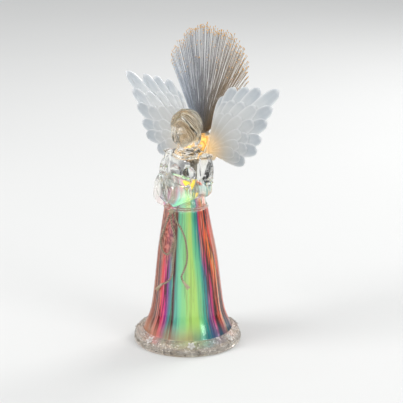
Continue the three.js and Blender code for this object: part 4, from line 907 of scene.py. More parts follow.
bank = BASE_RADIUS - wall_inside(LEDGE_HEIGHT)
ring_rows = [
    (BASE_RADIUS - 5 - bank / 2, FLOOR_BOTTOM), (BASE_RADIUS - 5.2 - bank / 4, 0.25),
    (BASE_RADIUS - 4.8 - bank / 4, 0), (BASE_RADIUS - bank / 3, 0), (BASE_RADIUS - bank / 7, 0.5),
    (BASE_RADIUS - 0.3, 1.5), (BASE_RADIUS, 2.8), (BASE_RADIUS - 0.15, 4.4),
]
bank_top = [(BASE_RADIUS - bank / 12, RIM_HEIGHT * 0.44), (BASE_RADIUS - bank / 4.2, RIM_HEIGHT * 0.6),
            (BASE_RADIUS - bank / 2.4, RIM_HEIGHT * 0.72), (BASE_RADIUS - bank / 1.7, RIM_HEIGHT * 0.86),
            (wall_inside(RIM_HEIGHT) + bank / 3, RIM_HEIGHT),
            (wall_inside(RIM_HEIGHT) + 0.4, RIM_HEIGHT * 0.99), (wall_inside(RIM_HEIGHT), RIM_HEIGHT * 0.95)]
BANK_STEPS = 6
for start, end in zip([ring_rows[-1], *bank_top[:-2]], bank_top[:-1]):
    for i in range(1, BANK_STEPS + 1):
        ring_rows.append(tuple(low + (high - low) * i / BANK_STEPS for low, high in zip(start, end)))
ring_rows += [bank_top[-1], (wall_inside(10), 10), (wall_inside(8), 8),
              (wall_inside(LEDGE_HEIGHT), LEDGE_HEIGHT), (TRAY_RADIUS + SLIP, LEDGE_HEIGHT),
              (TRAY_RADIUS + SLIP, FLOOR_BOTTOM)]
ice = turned(ring_rows, 300, closed=True)
for vert in ice.verts:
    radius = math.hypot(vert.co.x, vert.co.y)
    rise = rising(vert.co.z, 4, 6.5)
    inside = radius - wall_inside(vert.co.z)
    if rise == 0 or inside < 0.3:
        continue
    crumple = noise.noise(vert.co * 0.21) + 0.5 * noise.noise(vert.co * 0.5)
    ridge = 1 - abs(noise.noise(vert.co * 0.34 + Vector((7, 3, 1))))
    cut = rise * min(1, inside / 2) * (0.9 * abs(crumple) + 1.35 * ridge**3)
    grown = (radius - 0.8 * cut) / radius
    vert.co = Vector((vert.co.x * grown, vert.co.y * grown, vert.co.z - 0.7 * cut))
piece_of("ice_ring", ice, base_clear, ["base_ring"], sharp=60)

# %% [markdown]
# A flower is five petals round a bead. A petal starts as a sphere that is flattened, drawn out and
# tipped up, and the flowers lean back with the bank that they lie on.

# %% Rosettes
ROSETTE_COUNT, ROSETTE_RADIUS, ROSETTE_LEAN = 7, 4.3, 0.75
rosettes = bmesh.new()
for i in range(ROSETTE_COUNT):
    seat = (Matrix.Rotation(2 * math.pi * (i - 0.05) / ROSETTE_COUNT, 4, "Z")
            @ Matrix.Translation((BASE_RADIUS - bank + 0.9, 0, RIM_HEIGHT * 0.7 + 0.9))
            @ Matrix.Rotation(ROSETTE_LEAN, 4, "Y"))
    for petal in range(5):
        place = (seat @ Matrix.Rotation(2 * math.pi * petal / 5, 4, "Z")
                 @ Matrix.Translation((0.52 * ROSETTE_RADIUS, 0, 0.3)) @ Matrix.Rotation(-0.3, 4, "Y")
                 @ Matrix.Diagonal((1.9, 1.5, 0.75, 1)))
        bmesh.ops.create_uvsphere(rosettes, u_segments=16, v_segments=10, radius=1, matrix=place)
    bmesh.ops.create_uvsphere(rosettes, u_segments=12, v_segments=8, radius=1.05,
                              matrix=seat @ Matrix.Translation((0, 0, 0.7)))
piece_of("rosettes", rosettes, petal_clear)

# %% [markdown]
# ## The figure
#
# The figure is one clear casting to the eye: bodice, neck, bowed head with swept locks, puffed
# sleeves, bell cuffs and hands held palm to palm. Overlapping closed forms are joined into one
# skin by a voxel remesh, as a sculptor joins clay, and finer features are then pushed in and out
# of that skin. The bodice is hollow and open below, for the lamps.

# %% Figure sizes
FIGURE_BOTTOM, BODICE_HEIGHT = 139.3, 54
SHOULDER_HALF, BODICE_DEPTH, FIGURE_SKIN = 21, 15.5, 2
BODICE = [(0, .95, 1.2, -.13), (.05, .93, 1.17, -.12), (.17, .87, 1.02, .02), (.38, .88, .96, .13),
          (.6, .95, .95, .2), (.8, 1, .88, .22), (.9, .95, .74, .2), (.96, .68, .58, .16),
          (1, .4, .47, .1), (1.2, .36, .45, -.05)]
HEAD_HEIGHT, HEAD_HALF = 215, Vector((15.2, 15.8, 17.3))
HEAD_CENTRE = Vector((0, -0.5, HEAD_HEIGHT))
FACE_CENTRE = Vector((0, -0.55 * HEAD_HALF.y, HEAD_HEIGHT - 0.32 * HEAD_HALF.z))
FACE_HALF = Vector((10.4, 10.6, 12.8))
BOW = 0.3
FACE_PLACE = Matrix.Translation(FACE_CENTRE) @ Matrix.Rotation(BOW, 4, "X")


def bodice_size(share, column):
    """A column of the bodice's table: 1 is its width, 2 its depth and 3 how far it leans back."""
    return smooth_value([(row[0], row[column]) for row in BODICE], share)


def ball_into(shape, centre, half, turn=None, fine=24):
    place = Matrix.LocRotScale(Vector(centre), turn, Vector(half))
    bmesh.ops.create_uvsphere(shape, u_segments=fine, v_segments=2 * fine // 3, radius=1, matrix=place)


def limb_into(shape, points, radii, sides=12, step=1.2):
    """A rounded limb through the given points, with a ball at each end."""
    path = smooth_path([Vector(point) for point in points], step)
    share = [i / (len(path) - 1) for i in range(len(path))]
    marks = [(i / (len(radii) - 1), radius) for i, radius in enumerate(radii)]
    add_into(shape, tube(path, [smooth_value(marks, at) for at in share], sides))
    for end, radius in ((path[0], radii[0]), (path[-1], radii[-1])):
        ball_into(shape, end, (radius, radius, radius), fine=12)


print("the bodice starts at", FIGURE_BOTTOM, "and the head's middle is at", HEAD_HEIGHT, "mm")

# %% Bodice cup
CUP_SHARE, CUP_MARK, BODICE_TOP = 0.85, 0.5, 1.2
outer_rows = [(1, BODICE_TOP * i / 40) for i in range(40, -1, -1)]
cup_rows = [(CUP_MARK, CUP_SHARE * i / 28) for i in range(29)]
body = turned([(0, BODICE_TOP + 0.03), *outer_rows, *cup_rows, (0, CUP_SHARE + 0.04)], 72)
for vert in body.verts:
    mark = math.hypot(vert.co.x, vert.co.y)
    share = vert.co.z
    skin = FIGURE_SKIN if 0 < mark < 0.75 else 0
    across = bodice_size(share, 1) * SHOULDER_HALF - skin
    deep = bodice_size(share, 2) * BODICE_DEPTH - skin
    angle = math.atan2(vert.co.y, vert.co.x)
    if mark > 0.75:
        skirt = max(0, 1 - share / 0.45)
        crease = 0.45 * skirt * math.cos(18 * angle) + 0.25 * math.cos(31 * angle + 9 * share)
        across += crease - 0.3
        deep += crease - 0.3
    reach = 0 if mark < 0.01 else 1
    vert.co = Vector((reach * across * math.cos(angle), reach * deep * math.sin(angle)
                      + bodice_size(share, 3) * BODICE_DEPTH, FIGURE_BOTTOM + share * BODICE_HEIGHT))
bmesh.ops.recalc_face_normals(body, faces=body.faces)
for bust in (-1, 1):
    ball_into(body, (bust * 7.5, -9.0, 171), (6.8, 5.2, 6.8))
for width, height, thick in ((13.2, 187.6, 1.5), (11.0, 190.8, 1.3), (9.2, 193.8, 1.2)):
    ring = [Vector((width * math.cos(angle), 0.92 * width * math.sin(angle) + 1.2,
                    height + 1.6 * math.sin(angle))) for angle in round_angles(40)]
    add_into(body, tube(ring, [thick] * len(ring), 10))

print("bodice and collar:", len(body.verts), "points")

# %% Wing block behind the shoulders
WING_DEPTH, WING_ROOT, FAN_DEPTH, FAN_ROOT, BLOCK_HALF = 24.4, 186, 28.6, 203, 9
block_line = [(6.2, 176.8), (18, 177.6), (WING_DEPTH, 178.3), (31.5, 181.2), (33.8, 186), (34.2, 192),
              (34.2, 199), (33.6, 202.4), (23.6, 202.5), (18.5, 201.2), (14.6, 197.6), (6.2, 194.6)]
slab = bmesh.new()
outline = [slab.verts.new((-BLOCK_HALF, y, z)) for y, z in block_line]
side = slab.faces.new(outline)
grown = bmesh.ops.extrude_face_region(slab, geom=[side])["geom"]
bmesh.ops.translate(slab, vec=(2 * BLOCK_HALF, 0, 0),
                    verts=[part for part in grown if isinstance(part, bmesh.types.BMVert)])
bmesh.ops.bevel(slab, geom=slab.edges[:], offset=1.6, offset_type="OFFSET", segments=3, profile=0.5,
                affect="EDGES", material=-1)
add_into(body, slab)

# %% [markdown]
# ### Sleeves and hands
#
# Each upper sleeve is puffed, with a soft band above the elbow. The forearm's bell sleeve is a
# fan of rings: every ring hangs from the top of the forearm, and the rings grow longer towards
# the cuff, which is open. The hands are slim palms with four fingers and a thumb each.

# %% Bell sleeve
ELBOW, WRIST = Vector((19.95, 1.55, 153.3)), Vector((4.2, -38.75, 174.9))
LEVEL = Vector((WRIST.x - ELBOW.x, WRIST.y - ELBOW.y, 0))
REACH, RISE = LEVEL.length, WRIST.z - ELBOW.z
SLEEVE_TOP = [(0, 0.34), (0.3, 0.62), (0.6, 0.9), (0.9, 1.17), (1.0, 1.22)]
SLEEVE_LOW = [(0, -0.26), (0.3, -0.24), (0.55, -0.3), (0.8, -0.4), (1.0, -0.42)]
SLEEVE_TOP_AT = [(0, 0.0), (0.5, 0.5), (1.0, 1.06)]
SLEEVE_LOW_AT = [(0, 0.0), (0.5, 0.5), (0.8, 0.78), (1.0, 0.9)]
SLEEVE_SIDE = [(0, 6.3), (0.4, 6.0), (0.75, 5.6), (1.0, 5.9)]
CUFF_BULGE, CUFF_WALL, CUFF_DEPTH = 0.26, 1.4, 0.55


def sleeve_point(share, angle, inset):
    """A point of the sleeve: share from elbow to cuff, angle from the top round to the bottom."""
    top = smooth_value(SLEEVE_TOP, share) * RISE - inset
    low = smooth_value(SLEEVE_LOW, share) * RISE + inset
    middle, half = (top + low) / 2, (top - low) / 2
    up = math.cos(angle)
    tilt = (1 + up) / 2
    along = (smooth_value(SLEEVE_TOP_AT, share) * tilt + smooth_value(SLEEVE_LOW_AT, share) * (1 - tilt))
    along += CUFF_BULGE * share**3 * (1 - up * up)
    width = (smooth_value(SLEEVE_SIDE, share) - inset) * (1 - 0.25 * up)
    pleat = 0.45 * share * math.cos(7 * angle) * (inset == 0)
    return (LEVEL.normalized() * (along * REACH) + Vector((0, 0, middle + half * up))
            + LEVEL.normalized().cross(Vector((0, 0, 1))) * ((width + pleat) * math.sin(angle)))


def sleeve():
    """Outer rings from elbow to cuff, then inner rings back to the depth of the cuff."""
    around = 40
    rings = [(i / 18, 0) for i in range(19)] + [(1 - CUFF_DEPTH * i / 8, CUFF_WALL) for i in range(9)]
    shape = turned([(0, 0), *[(1, 1 + i) for i in range(len(rings))], (0, len(rings) + 1)], around)
    for vert in shape.verts:
        row = round(vert.co.z)
        if row in (0, len(rings) + 1):
            share, inset = rings[min(max(row - 1, 0), len(rings) - 1)]
            ends = [sleeve_point(share, angle, inset) for angle in (0, math.pi)]
            vert.co = ELBOW + (ends[0] + ends[1]) / 2
        else:
            share, inset = rings[row - 1]
            vert.co = ELBOW + sleeve_point(share, math.atan2(vert.co.y, vert.co.x), inset)
    bmesh.ops.recalc_face_normals(shape, faces=shape.faces)
    return shape


print("the forearm runs", round(REACH), "mm forwards and", round(RISE), "mm up")

# %% Arms and hands of one side, and the mirror of it
arms = bmesh.new()
limb_into(arms, [(19.3, 2.3, 184.2), (20.6, 2.4, 172), (20.1, 2.0, 162), ELBOW], [6.0, 6.9, 5.9, 6.1], 20)
for turn, height in ((0.25, 164.5), (-0.1, 161.8), (0.1, 187.5)):
    ring = [Vector((20.0 + 6.1 * math.cos(angle), 2.2 + 6.2 * math.sin(angle),
                    height + turn * 6 * math.cos(angle))) for angle in round_angles(24)]
    add_into(arms, tube(ring, [1.0] * len(ring), 8))
add_into(arms, sleeve())
limb_into(arms, [ELBOW.lerp(WRIST, 0.55), ELBOW.lerp(WRIST, 0.85), WRIST + Vector((-0.9, -0.6, 1.5))],
          [4.6, 3.6, 2.9], 14)
ball_into(arms, (2.7, -39.2, 181.2), (2.1, 4.5, 5.6))
for across, start, tip, thick in ((-3.3, 184.0, 191.6, 1.15), (-1.2, 184.6, 194.0, 1.2),
                                  (1.0, 184.2, 194.4, 1.2), (2.9, 183.0, 191.8, 1.05)):
    root = Vector((2.4, -38.6 + across, start))
    limb_into(arms, [root, root + Vector((-0.2, 0.9, 0.55 * (tip - start))),
                     Vector((1.5, -36.4 + 0.78 * across, tip))], [thick, thick, 0.72 * thick], 10, 0.8)
limb_into(arms, [(2.6, -42.2, 178.6), (1.9, -43.9, 182.2), (1.5, -43.4, 186.2)], [1.5, 1.3, 1.0], 10, 0.8)
bmesh.ops.recalc_face_normals(arms, faces=arms.faces)
other_side = arms.copy()
mirror(other_side)
add_into(body, arms)
add_into(body, other_side)
print("with block and arms:", len(body.verts), "points")

# %% [markdown]
# ### Head
#
# The head bows to the front. Locks of hair start at a parting, sweep back over the skull and end
# in loose waves at the nape. The face is a plain oval here, and its calm, general features are
# pushed into the skin after the joining.

# %% Skull, face and neck
ball_into(body, HEAD_CENTRE + Vector((0, 1.2, -0.6)), HEAD_HALF - Vector((2.1, 2.3, 2.0)), fine=36)
ball_into(body, HEAD_CENTRE + Vector((0, 7.0, -11)), (11.5, 7.4, 12.5), fine=30)
bmesh.ops.create_uvsphere(body, u_segments=40, v_segments=28, radius=1,
                          matrix=FACE_PLACE @ Matrix.Diagonal((*FACE_HALF, 1)))
limb_into(body, [(0, 1, 188), (0, -1, 196), (0, -3, 203)], [7.4, 6.8, 7.2], 20)

# %% Locks of hair
LOCKS = 10
PARTING = [(-0.67, 0.74), (0.4, 0.92)]  # front and back end of the parting: (depth, height) shares
TEMPLE = [(0.86, -0.5, 0.12), (0.42, 0.72, 0.5)]  # where the first and the last lock pass the side
NAPE = [(0.88, 0.12, -0.6), (0.12, 0.86, -0.62)]  # where they end

for side in (-1, 1):
    for lock in range(LOCKS):
        share = lock / (LOCKS - 1)
        start = Vector((0.04 * side, PARTING[0][0] + share * (PARTING[1][0] - PARTING[0][0]),
                        PARTING[0][1] + share * (PARTING[1][1] - PARTING[0][1])))
        temple, nape = (Vector(first).lerp(Vector(last), share) for first, last in (TEMPLE, NAPE))
        temple.x *= side
        nape.x *= side
        points = []
        for step in range(10):
            fall = step / 9
            aim = Vector(smooth_value([(0, start[axis]), (0.5, temple[axis]), (1, nape[axis])], fall)
                         for axis in range(3))
            wave = 0.07 * fall * math.sin(10 * fall + 2.4 * lock)
            aim = (aim.normalized() + Vector((0, wave, wave))).normalized()
            spread = HEAD_HALF + Vector((1, 1, 1)) * (-1.5 + 0.35 * math.sin(4 * lock))
            points.append(HEAD_CENTRE + Vector(spread[axis] * aim[axis] for axis in range(3)))
        limb_into(body, points, [0.8, 1.5, 1.75, 1.7, 1.0], 8, 1.6)
print("forms before the joining:", len(body.verts), "points")

# %% [markdown]
# ### One skin
#
# A voxel remesh joins the forms. It leaves a stepped skin, which a few rounds of smoothing even
# out. Then every point near the face moves along the face's own depth by a sum of soft bumps:
# sockets, lids, nose, lips and chin, on the plain proportions of any drawing book.

# %% Join and smooth
VOXEL = 0.64  # millimetres; finer cells would give the skin more triangles than a piece may have
SMOOTH_ROUNDS = 3
carrier = bpy.data.meshes.new("figure_forms")
bmesh.ops.scale(body, vec=(MM, MM, MM), verts=body.verts)
body.to_mesh(carrier)
body.free()
forms = bpy.data.objects.new("figure_forms", carrier)
bpy.context.scene.collection.objects.link(forms)
remesh = forms.modifiers.new("one_skin", "REMESH")
remesh.mode = "VOXEL"
remesh.voxel_size = VOXEL * MM
bpy.context.view_layer.update()
skin_mesh = bpy.data.meshes.new_from_object(forms.evaluated_get(bpy.context.evaluated_depsgraph_get()))
skin = bmesh.new()
skin.from_mesh(skin_mesh)
bpy.data.objects.remove(forms)
bpy.data.meshes.remove(carrier)
bpy.data.meshes.remove(skin_mesh)
bmesh.ops.scale(skin, vec=(1 / MM,) * 3, verts=skin.verts)
for _ in range(SMOOTH_ROUNDS):
    bmesh.ops.smooth_vert(skin, verts=skin.verts, factor=0.5, use_axis_x=True, use_axis_y=True,
                          use_axis_z=True)
print("joined skin:", len(skin.verts), "points")

# %% Face: soft bumps as (across, up, half width, half height, lift)
FEATURES = [
    (4.4, 2.7, 2.7, 1.9, -1.35), (4.4, 2.4, 2.0, 1.3, 0.95), (4.4, 1.35, 1.9, 0.35, -0.4),
    (4.6, 5.3, 3.0, 0.8, 0.55), (0, 1.6, 1.15, 3.4, 1.5), (0, -2.8, 1.45, 1.5, 2.3),
    (1.7, -3.3, 0.8, 0.75, 0.8), (0, -6.7, 2.5, 0.65, 0.8), (0, -8.3, 2.1, 0.75, 0.85),
    (0, -7.45, 2.6, 0.3, -0.5), (0, -9.8, 2.0, 0.7, -0.45), (0, -11.9, 2.6, 1.8, 0.9),
    (5.4, -3.0, 3.0, 3.0, 0.55),
]
to_face = FACE_PLACE.inverted()
forward = FACE_PLACE.to_3x3() @ Vector((0, -1, 0))
for vert in skin.verts:
    spot = to_face @ vert.co
    if spot.y > -3 or abs(spot.x) > 12 or abs(spot.z) > 15:
        continue
    lift = 0
    for across, up, wide, tall, height in FEATURES:
        for side in ((1, -1) if across else (1,)):
            far = ((spot.x - side * across) / wide) ** 2 + ((spot.z - up) / tall) ** 2
            lift += height * math.exp(-far)
    vert.co += forward * lift
print("soft bumps in the face:", len(FEATURES))

# %% [markdown]
# The skin keeps five marks at each point: where the hair is, how far a strand lies from the
# parting, where a painted highlight runs along the far bell sleeve's outer edge, where painted shade
# darkens the skin (the inside of that sleeve, and an oval on the chest), and where the lamps' light is
# painted as a golden glow. The material reads them all. Hair has light and dark strands, the sleeve's
# highlight is white and rougher, and the hem takes a painted reflection of the film's colours. The
# highlight and the hem glow faintly, as they gather light from inside.

# %% Marks of the skin
skin_piece = piece_of("angel_figure", skin, figure_clear, ["figure_front", "figure_back"],
                      sharp=80)
marks_of_skin = {name: [] for name in ("hair", "strand", "frost", "painted_shade", "painted_lamp_glow")}
SHOULDER_GLOW, GLOW_REACH = Vector((5, 16, 193)), 11
CROWN_GLOW = Vector((-0.6, -0.3, 0.74))  # the way to the lit part of the hair
TO_CUFF = WRIST - ELBOW  # of the forearm on the angel's left
CHEST_MIDDLE, CHEST_HEIGHT, CHEST_HALF_WIDTH, CHEST_HALF_HEIGHT = 4, 176, 8.5, 9.5
FAR_SIDE = Vector((-0.848, -0.53, 0))  # the way out of the far sleeve, square to the photo's view
SLEEVE_HIGHLIGHT_START, SLEEVE_HIGHLIGHT_END = 24.5, 26.5
STRAND_FAN = [(-0.6, 0.12, 0.74), (0.3, -0.5, 1.22), (0.8, -0.67, 1.07)]  # height, parting and width
parting_rows, width_rows = ([(row[0], row[column]) for row in STRAND_FAN] for column in (1, 2))


def bodice_reach(point):
    """How far out a point lies in the bodice: 1 is its outer surface."""
    share = (point.z - FIGURE_BOTTOM) / BODICE_HEIGHT
    if share >= 0.9:
        return 1
    middle = bodice_size(share, 3) * BODICE_DEPTH
    return math.hypot(point.x / (bodice_size(share, 1) * SHOULDER_HALF),
                      (point.y - middle) / (bodice_size(share, 2) * BODICE_DEPTH))


def from_forearm(point):
    """Roughly how a point lies from the axis of the forearm on its side of the body."""
    side = math.copysign(1, point.x)
    elbow, wrist = (Vector((side * end.x, end.y, end.z)) for end in (ELBOW, WRIST))
    along = rising(TO_CUFF.dot(point - elbow) / TO_CUFF.length_squared, 0, 1)
    return point - elbow.lerp(wrist, along)


for vert in skin_piece.data.vertices:
    point, out = vert.co / MM, vert.normal
    on_far_side = point.x < 0
    spread = point - HEAD_CENTRE
    head = Vector(spread[axis] / HEAD_HALF[axis] for axis in range(3))
    spot = to_face @ point
    bare = spot.y < -4 and abs(spot.x) < 9.5 and spot.z < 10
    hair = (0.3 if bare else 1.0) * (point.z > 201 and head.length > 0.8)
    parting, width = smooth_value(parting_rows, head.z), smooth_value(width_rows, head.z)
    on_sleeve = point.y < -2 and abs(point.x) > 3.5 and point.z < 180
    in_sleeve = on_sleeve and out.dot(from_forearm(point)) < 0
    # a dark oval on the chest is painted shade, like the inside of the far sleeve
    across = (point.x - CHEST_MIDDLE) / CHEST_HALF_WIDTH
    up = (point.z - CHEST_HEIGHT) / CHEST_HALF_HEIGHT
    chest_shade = 0.85 * math.exp(-(across**2 + up**2) ** 2)
    chest_shade *= point.y < 2 and bodice_reach(point) < 1.03 and not on_sleeve
    # a white crescent along the far sleeve's outer edge is a painted highlight
    frost = rising(point.dot(FAR_SIDE) + 0.6 * max(0, 152 - point.z), SLEEVE_HIGHLIGHT_START, SLEEVE_HIGHLIGHT_END)
    # painted golden glow of the lamps near the shoulder and on the lit side of the hair
    shoulder = math.exp(-((point - SHOULDER_GLOW).length / GLOW_REACH) ** 2)
    values = {
        "hair": hair,
        "strand": 0.06 * (head.y - parting) / width + 0.2 * on_far_side,
        "frost": frost * rising(-point.z, -174, -170),
        "painted_shade": 0.9 * on_far_side if in_sleeve else chest_shade,
        "painted_lamp_glow": max(shoulder, 0.45 * hair * rising(head.dot(CROWN_GLOW), 0.5, 0.95)),
    }
    for name, value in values.items():
        marks_of_skin[name].append(value)
for name, values in marks_of_skin.items():
    skin_piece.data.attributes.new(name, "FLOAT", "POINT").data.foreach_set("value", values)
print("marks:", list(marks_of_skin))

# %% The skin's finish reads its marks
figure_tree, figure_sockets, figure_place = parts_of(figure_clear)
figure_height = height_in(figure_tree, figure_place)
hair_share, sleeve_highlight_share = read_mark(figure_tree, "hair"), read_mark(figure_tree, "frost")
strand_place = joined(figure_tree, read_mark(figure_tree, "strand"), 0, figure_height)
strands = streaks_of(figure_tree, strand_place, 260, 0.12)
hair_tone = blended(figure_tree, share_of(figure_tree, strands, 0.42, 0.56), (0.2, 0.13, 0.06),
                    (0.96, 0.93, 0.82))
# the hem takes a painted reflection of the film's colours
hem_reflection_share = share_of(figure_tree, figure_height, 0.162, 0.145, 0.6)
hem_film_reflection = colours_in(figure_tree)["Colour"]
hem_reflection_tone = blended(figure_tree, 0.35, hem_film_reflection, WHITE)
skin_tone = own_tone(figure_tree)
# painted film reflection, painted shade, hair strands, the sleeve's painted highlight and the lamps' painted
# glow
for share, painted in ((hem_reflection_share, hem_reflection_tone), (read_mark(figure_tree, "painted_shade"), (0.24, 0.24, 0.26)),
                       (hair_share, hair_tone), (sleeve_highlight_share, WHITE),
                       (read_mark(figure_tree, "painted_lamp_glow"), (1.0, 0.7, 0.25))):
    skin_tone = blended(figure_tree, share, skin_tone, painted)
# the hem's painted reflection and the sleeve's painted highlight also glow faintly
skin_light = blended(figure_tree, hem_reflection_share, BLACK, hem_film_reflection)
skin_light = blended(figure_tree, sleeve_highlight_share, skin_light, (0.3, 0.3, 0.28))
dull_hair = maths(figure_tree, "MULTIPLY", hair_share, 0.12)
dull_sleeve_edge = maths(figure_tree, "MULTIPLY", sleeve_highlight_share, 0.34)
dull = maths(figure_tree, "MAXIMUM", dull_hair, dull_sleeve_edge)
combed = node_of(figure_tree, "ShaderNodeBump", {
    "Strength": 0.5, "Distance": 0.0009, "Height": maths(figure_tree, "MULTIPLY", strands, hair_share),
    "Normal": figure_tree.nodes["bump"].outputs["Normal"],
})
feed(figure_tree, figure_sockets["Base Color"], skin_tone)
feed(figure_tree, figure_sockets["Roughness"], maths(figure_tree, "ADD", dull, 0.04))
feed(figure_tree, figure_sockets["Normal"], combed.outputs["Normal"])
glow(figure_clear, skin_light, 0.4)
print("the skin's finish has", len(figure_tree.nodes), "nodes")

# %% [markdown]
# ## Wings
#
# Each wing is three layers of feathers that fan out from a hub. A feather is a grid drawn out to
# a blade: round at the tip, narrow at the root, raised along its shaft and thin at its edges. A
# Solidify step gives it its thickness.

# %% One feather
FEATHER_THICKNESS, FEATHER_TILT, LONGEST, FEATHER_HALF, HUB_RADIUS = 1.2, 0.075, 103, 7, 9
BLADE = [(0, 0.3), (0.15, 0.42), (0.4, 0.72), (0.62, 0.95), (0.8, 1.0), (0.9, 0.86), (0.96, 0.6), (1, 0.0)]


def feather(length, half_width, thickness, layer):
    """A feather along +X, flat in XY, with its shaft and its edges formed, and marked for a painted rim
    highlight and for thinness.
    """
    shape = bmesh.new()
    long_cells, wide_cells = 30, 12
    bmesh.ops.create_grid(shape, x_segments=long_cells, y_segments=wide_cells, size=1)
    rim_highlight, thin = (shape.verts.layers.float.new(name) for name in ("rim_highlight", "thin"))
    start = 0.3 * HUB_RADIUS
    for vert in shape.verts:
        share = ((vert.co.x + 1) / 2) ** 0.8
        across = vert.co.y
        width = half_width * max(0.02, smooth_value(BLADE, share))
        shaft = math.exp(-(across / 0.16) ** 2) * (1 - 0.7 * share)
        barb = 0.07 * math.sin(38 * share + 5 * abs(across)) * (1 - shaft) * min(1, 4 * share)
        ridge = 0.3 * max(abs(across) ** 5, max(0, share - 0.9) * 9) * min(1, 3 * share)
        # painted highlight mark along the rim, the tip and the shaft
        edge = max(abs(across) ** 5, rising(share, 0.955, 0.995))
        vert[rim_highlight] = min(1, 0.95 * edge * min(1, 2.5 * share) + 0.3 * shaft * share)
        vert[thin] = max(0, share - 0.42) / 0.58 * (1 - 0.33 * layer)
        vert.co = Vector((start + share * (length - start), width * across,
                          0.3 * shaft + barb + ridge + 0.2 * (1 - across * across)))
    bmesh.ops.remove_doubles(shape, verts=shape.verts, dist=0.02)
    bmesh.ops.recalc_face_normals(shape, faces=shape.faces)
    bmesh.ops.solidify(shape, geom=shape.faces[:], thickness=0.75 * thickness)
    return shape


# %% Wings: angle from level and length share of each feather
FEATHER_ROWS = [
    [(-7, .4), (9, .53), (19.5, .6), (30.2, .72), (36.5, .84), (42, 1), (50.5, .86), (57.5, .78), (66.5, .7),
     (71, .58)],
    [(-2, .35), (12, .43), (25, .48), (35.5, .6), (44, .71), (53, .64), (61.5, .59), (67.5, .54)],
    [(6, .29), (20, .36), (33, .43), (46, .52), (57, .47), (67, .42)],
]
WING_GLOW_SPOT, WING_GLOW_REACH = Vector((9, 24, 190)), 15
for name in ("left", "right"):
    wing = bmesh.new()
    for mark in ("rim_highlight", "thin", "painted_root_glow"):
        wing.verts.layers.float.new(mark)
    for layer, row in enumerate(FEATHER_ROWS):
        lift = (layer - 1) * 0.75 * FEATHER_THICKNESS
        for turn, share in row:
            blade = feather(share * LONGEST, FEATHER_HALF * (1 - 0.08 * layer), FEATHER_THICKNESS, layer)
            place = (Matrix.Translation((BLOCK_HALF, 0, lift)) @ Matrix.Rotation(math.radians(turn), 4, "Z")
                     @ Matrix.Rotation(FEATHER_TILT, 4, "X"))
            bmesh.ops.transform(blade, matrix=place, verts=blade.verts)
            add_into(wing, blade)
    bmesh.ops.bisect_plane(wing, geom=wing.verts[:] + wing.edges[:] + wing.faces[:],
                           plane_co=(BLOCK_HALF + 0.3, 0, 0), plane_no=(-1, 0, 0), clear_outer=True)
    open_edges = [edge for edge in wing.edges if edge.is_boundary]
    bmesh.ops.holes_fill(wing, edges=open_edges, sides=0)
    hub_place = Vector((BLOCK_HALF + 0.45 * HUB_RADIUS + 0.6, 0, 0))
    hub = Matrix.LocRotScale(hub_place, None, Vector((5.4, 8.6, 1.9)))
    bmesh.ops.create_uvsphere(wing, u_segments=28, v_segments=14, radius=1, matrix=hub)
    upright = Matrix.Translation((0, WING_DEPTH, WING_ROOT)) @ Matrix.Rotation(math.pi / 2, 4, "X")
    bmesh.ops.transform(wing, matrix=upright, verts=wing.verts)
    # painted golden glow that fades with distance from the lamp-lit spot near the root
    painted_root_glow = wing.verts.layers.float["painted_root_glow"]
    for vert in wing.verts:
        vert[painted_root_glow] = 0.7 * math.exp(-((vert.co - WING_GLOW_SPOT).length / WING_GLOW_REACH) ** 2)
    if name == "right":
        mirror(wing)
    piece_of("feathers_" + name, wing, frosted, ["wing_" + name], sharp=50)

# %% [markdown]
# ## Light fibres
#
# The spray is a few hundred clear strands that leave one small crown, fan out and end at
# different heights. A strand is a thin tube that bows a little outwards, and its cut end is a
# bright golden bead, because the light leaves there.

# %% Spray of strands
CROWN_HALF, CROWN_DEEP, CROWN_HEIGHT = 6.6, 4.4, 3
FIBRE_RADIUS, FIBRE_LENGTH, FIBRE_SPREAD = 0.17, 106, 0.7
COLUMNS, STRAND_ROWS = 34, 13
FAN_SHARES = [(-1, 0.53), (-0.7, 0.68), (-0.5, 0.77), (-0.3, 0.9), (-0.1, 0.97), (0.1, 0.93), (0.3, 0.9),
              (0.5, 0.8), (0.7, 0.69), (0.85, 0.57), (1, 0.45)]
FRONT_LEAN = [(0, 0.03), (0.7, 0.03), (1, 0.375)]
BACK_LEAN = [(0, 0.175), (0.88, 0.274), (1, 0.415)]
TRIMS = (1, 0.99, 0.97, 0.86, 0.98, 0.84, 1, 0.72, 0.98, 0.7, 0.96)
STRAND_STEPS = (0, 0.2, 0.4, 0.6, 0.8, 0.985, 0.99, 1)  # the last two steps make the bead


def straight_value(rows, at):
    """Reads a table of (place, value) rows, straight from row to row."""
    for (low, first), (high, second) in zip(rows, rows[1:]):
        if at <= high:
            return first + (second - first) * max(0, at - low) / (high - low)
    return rows[-1][1]


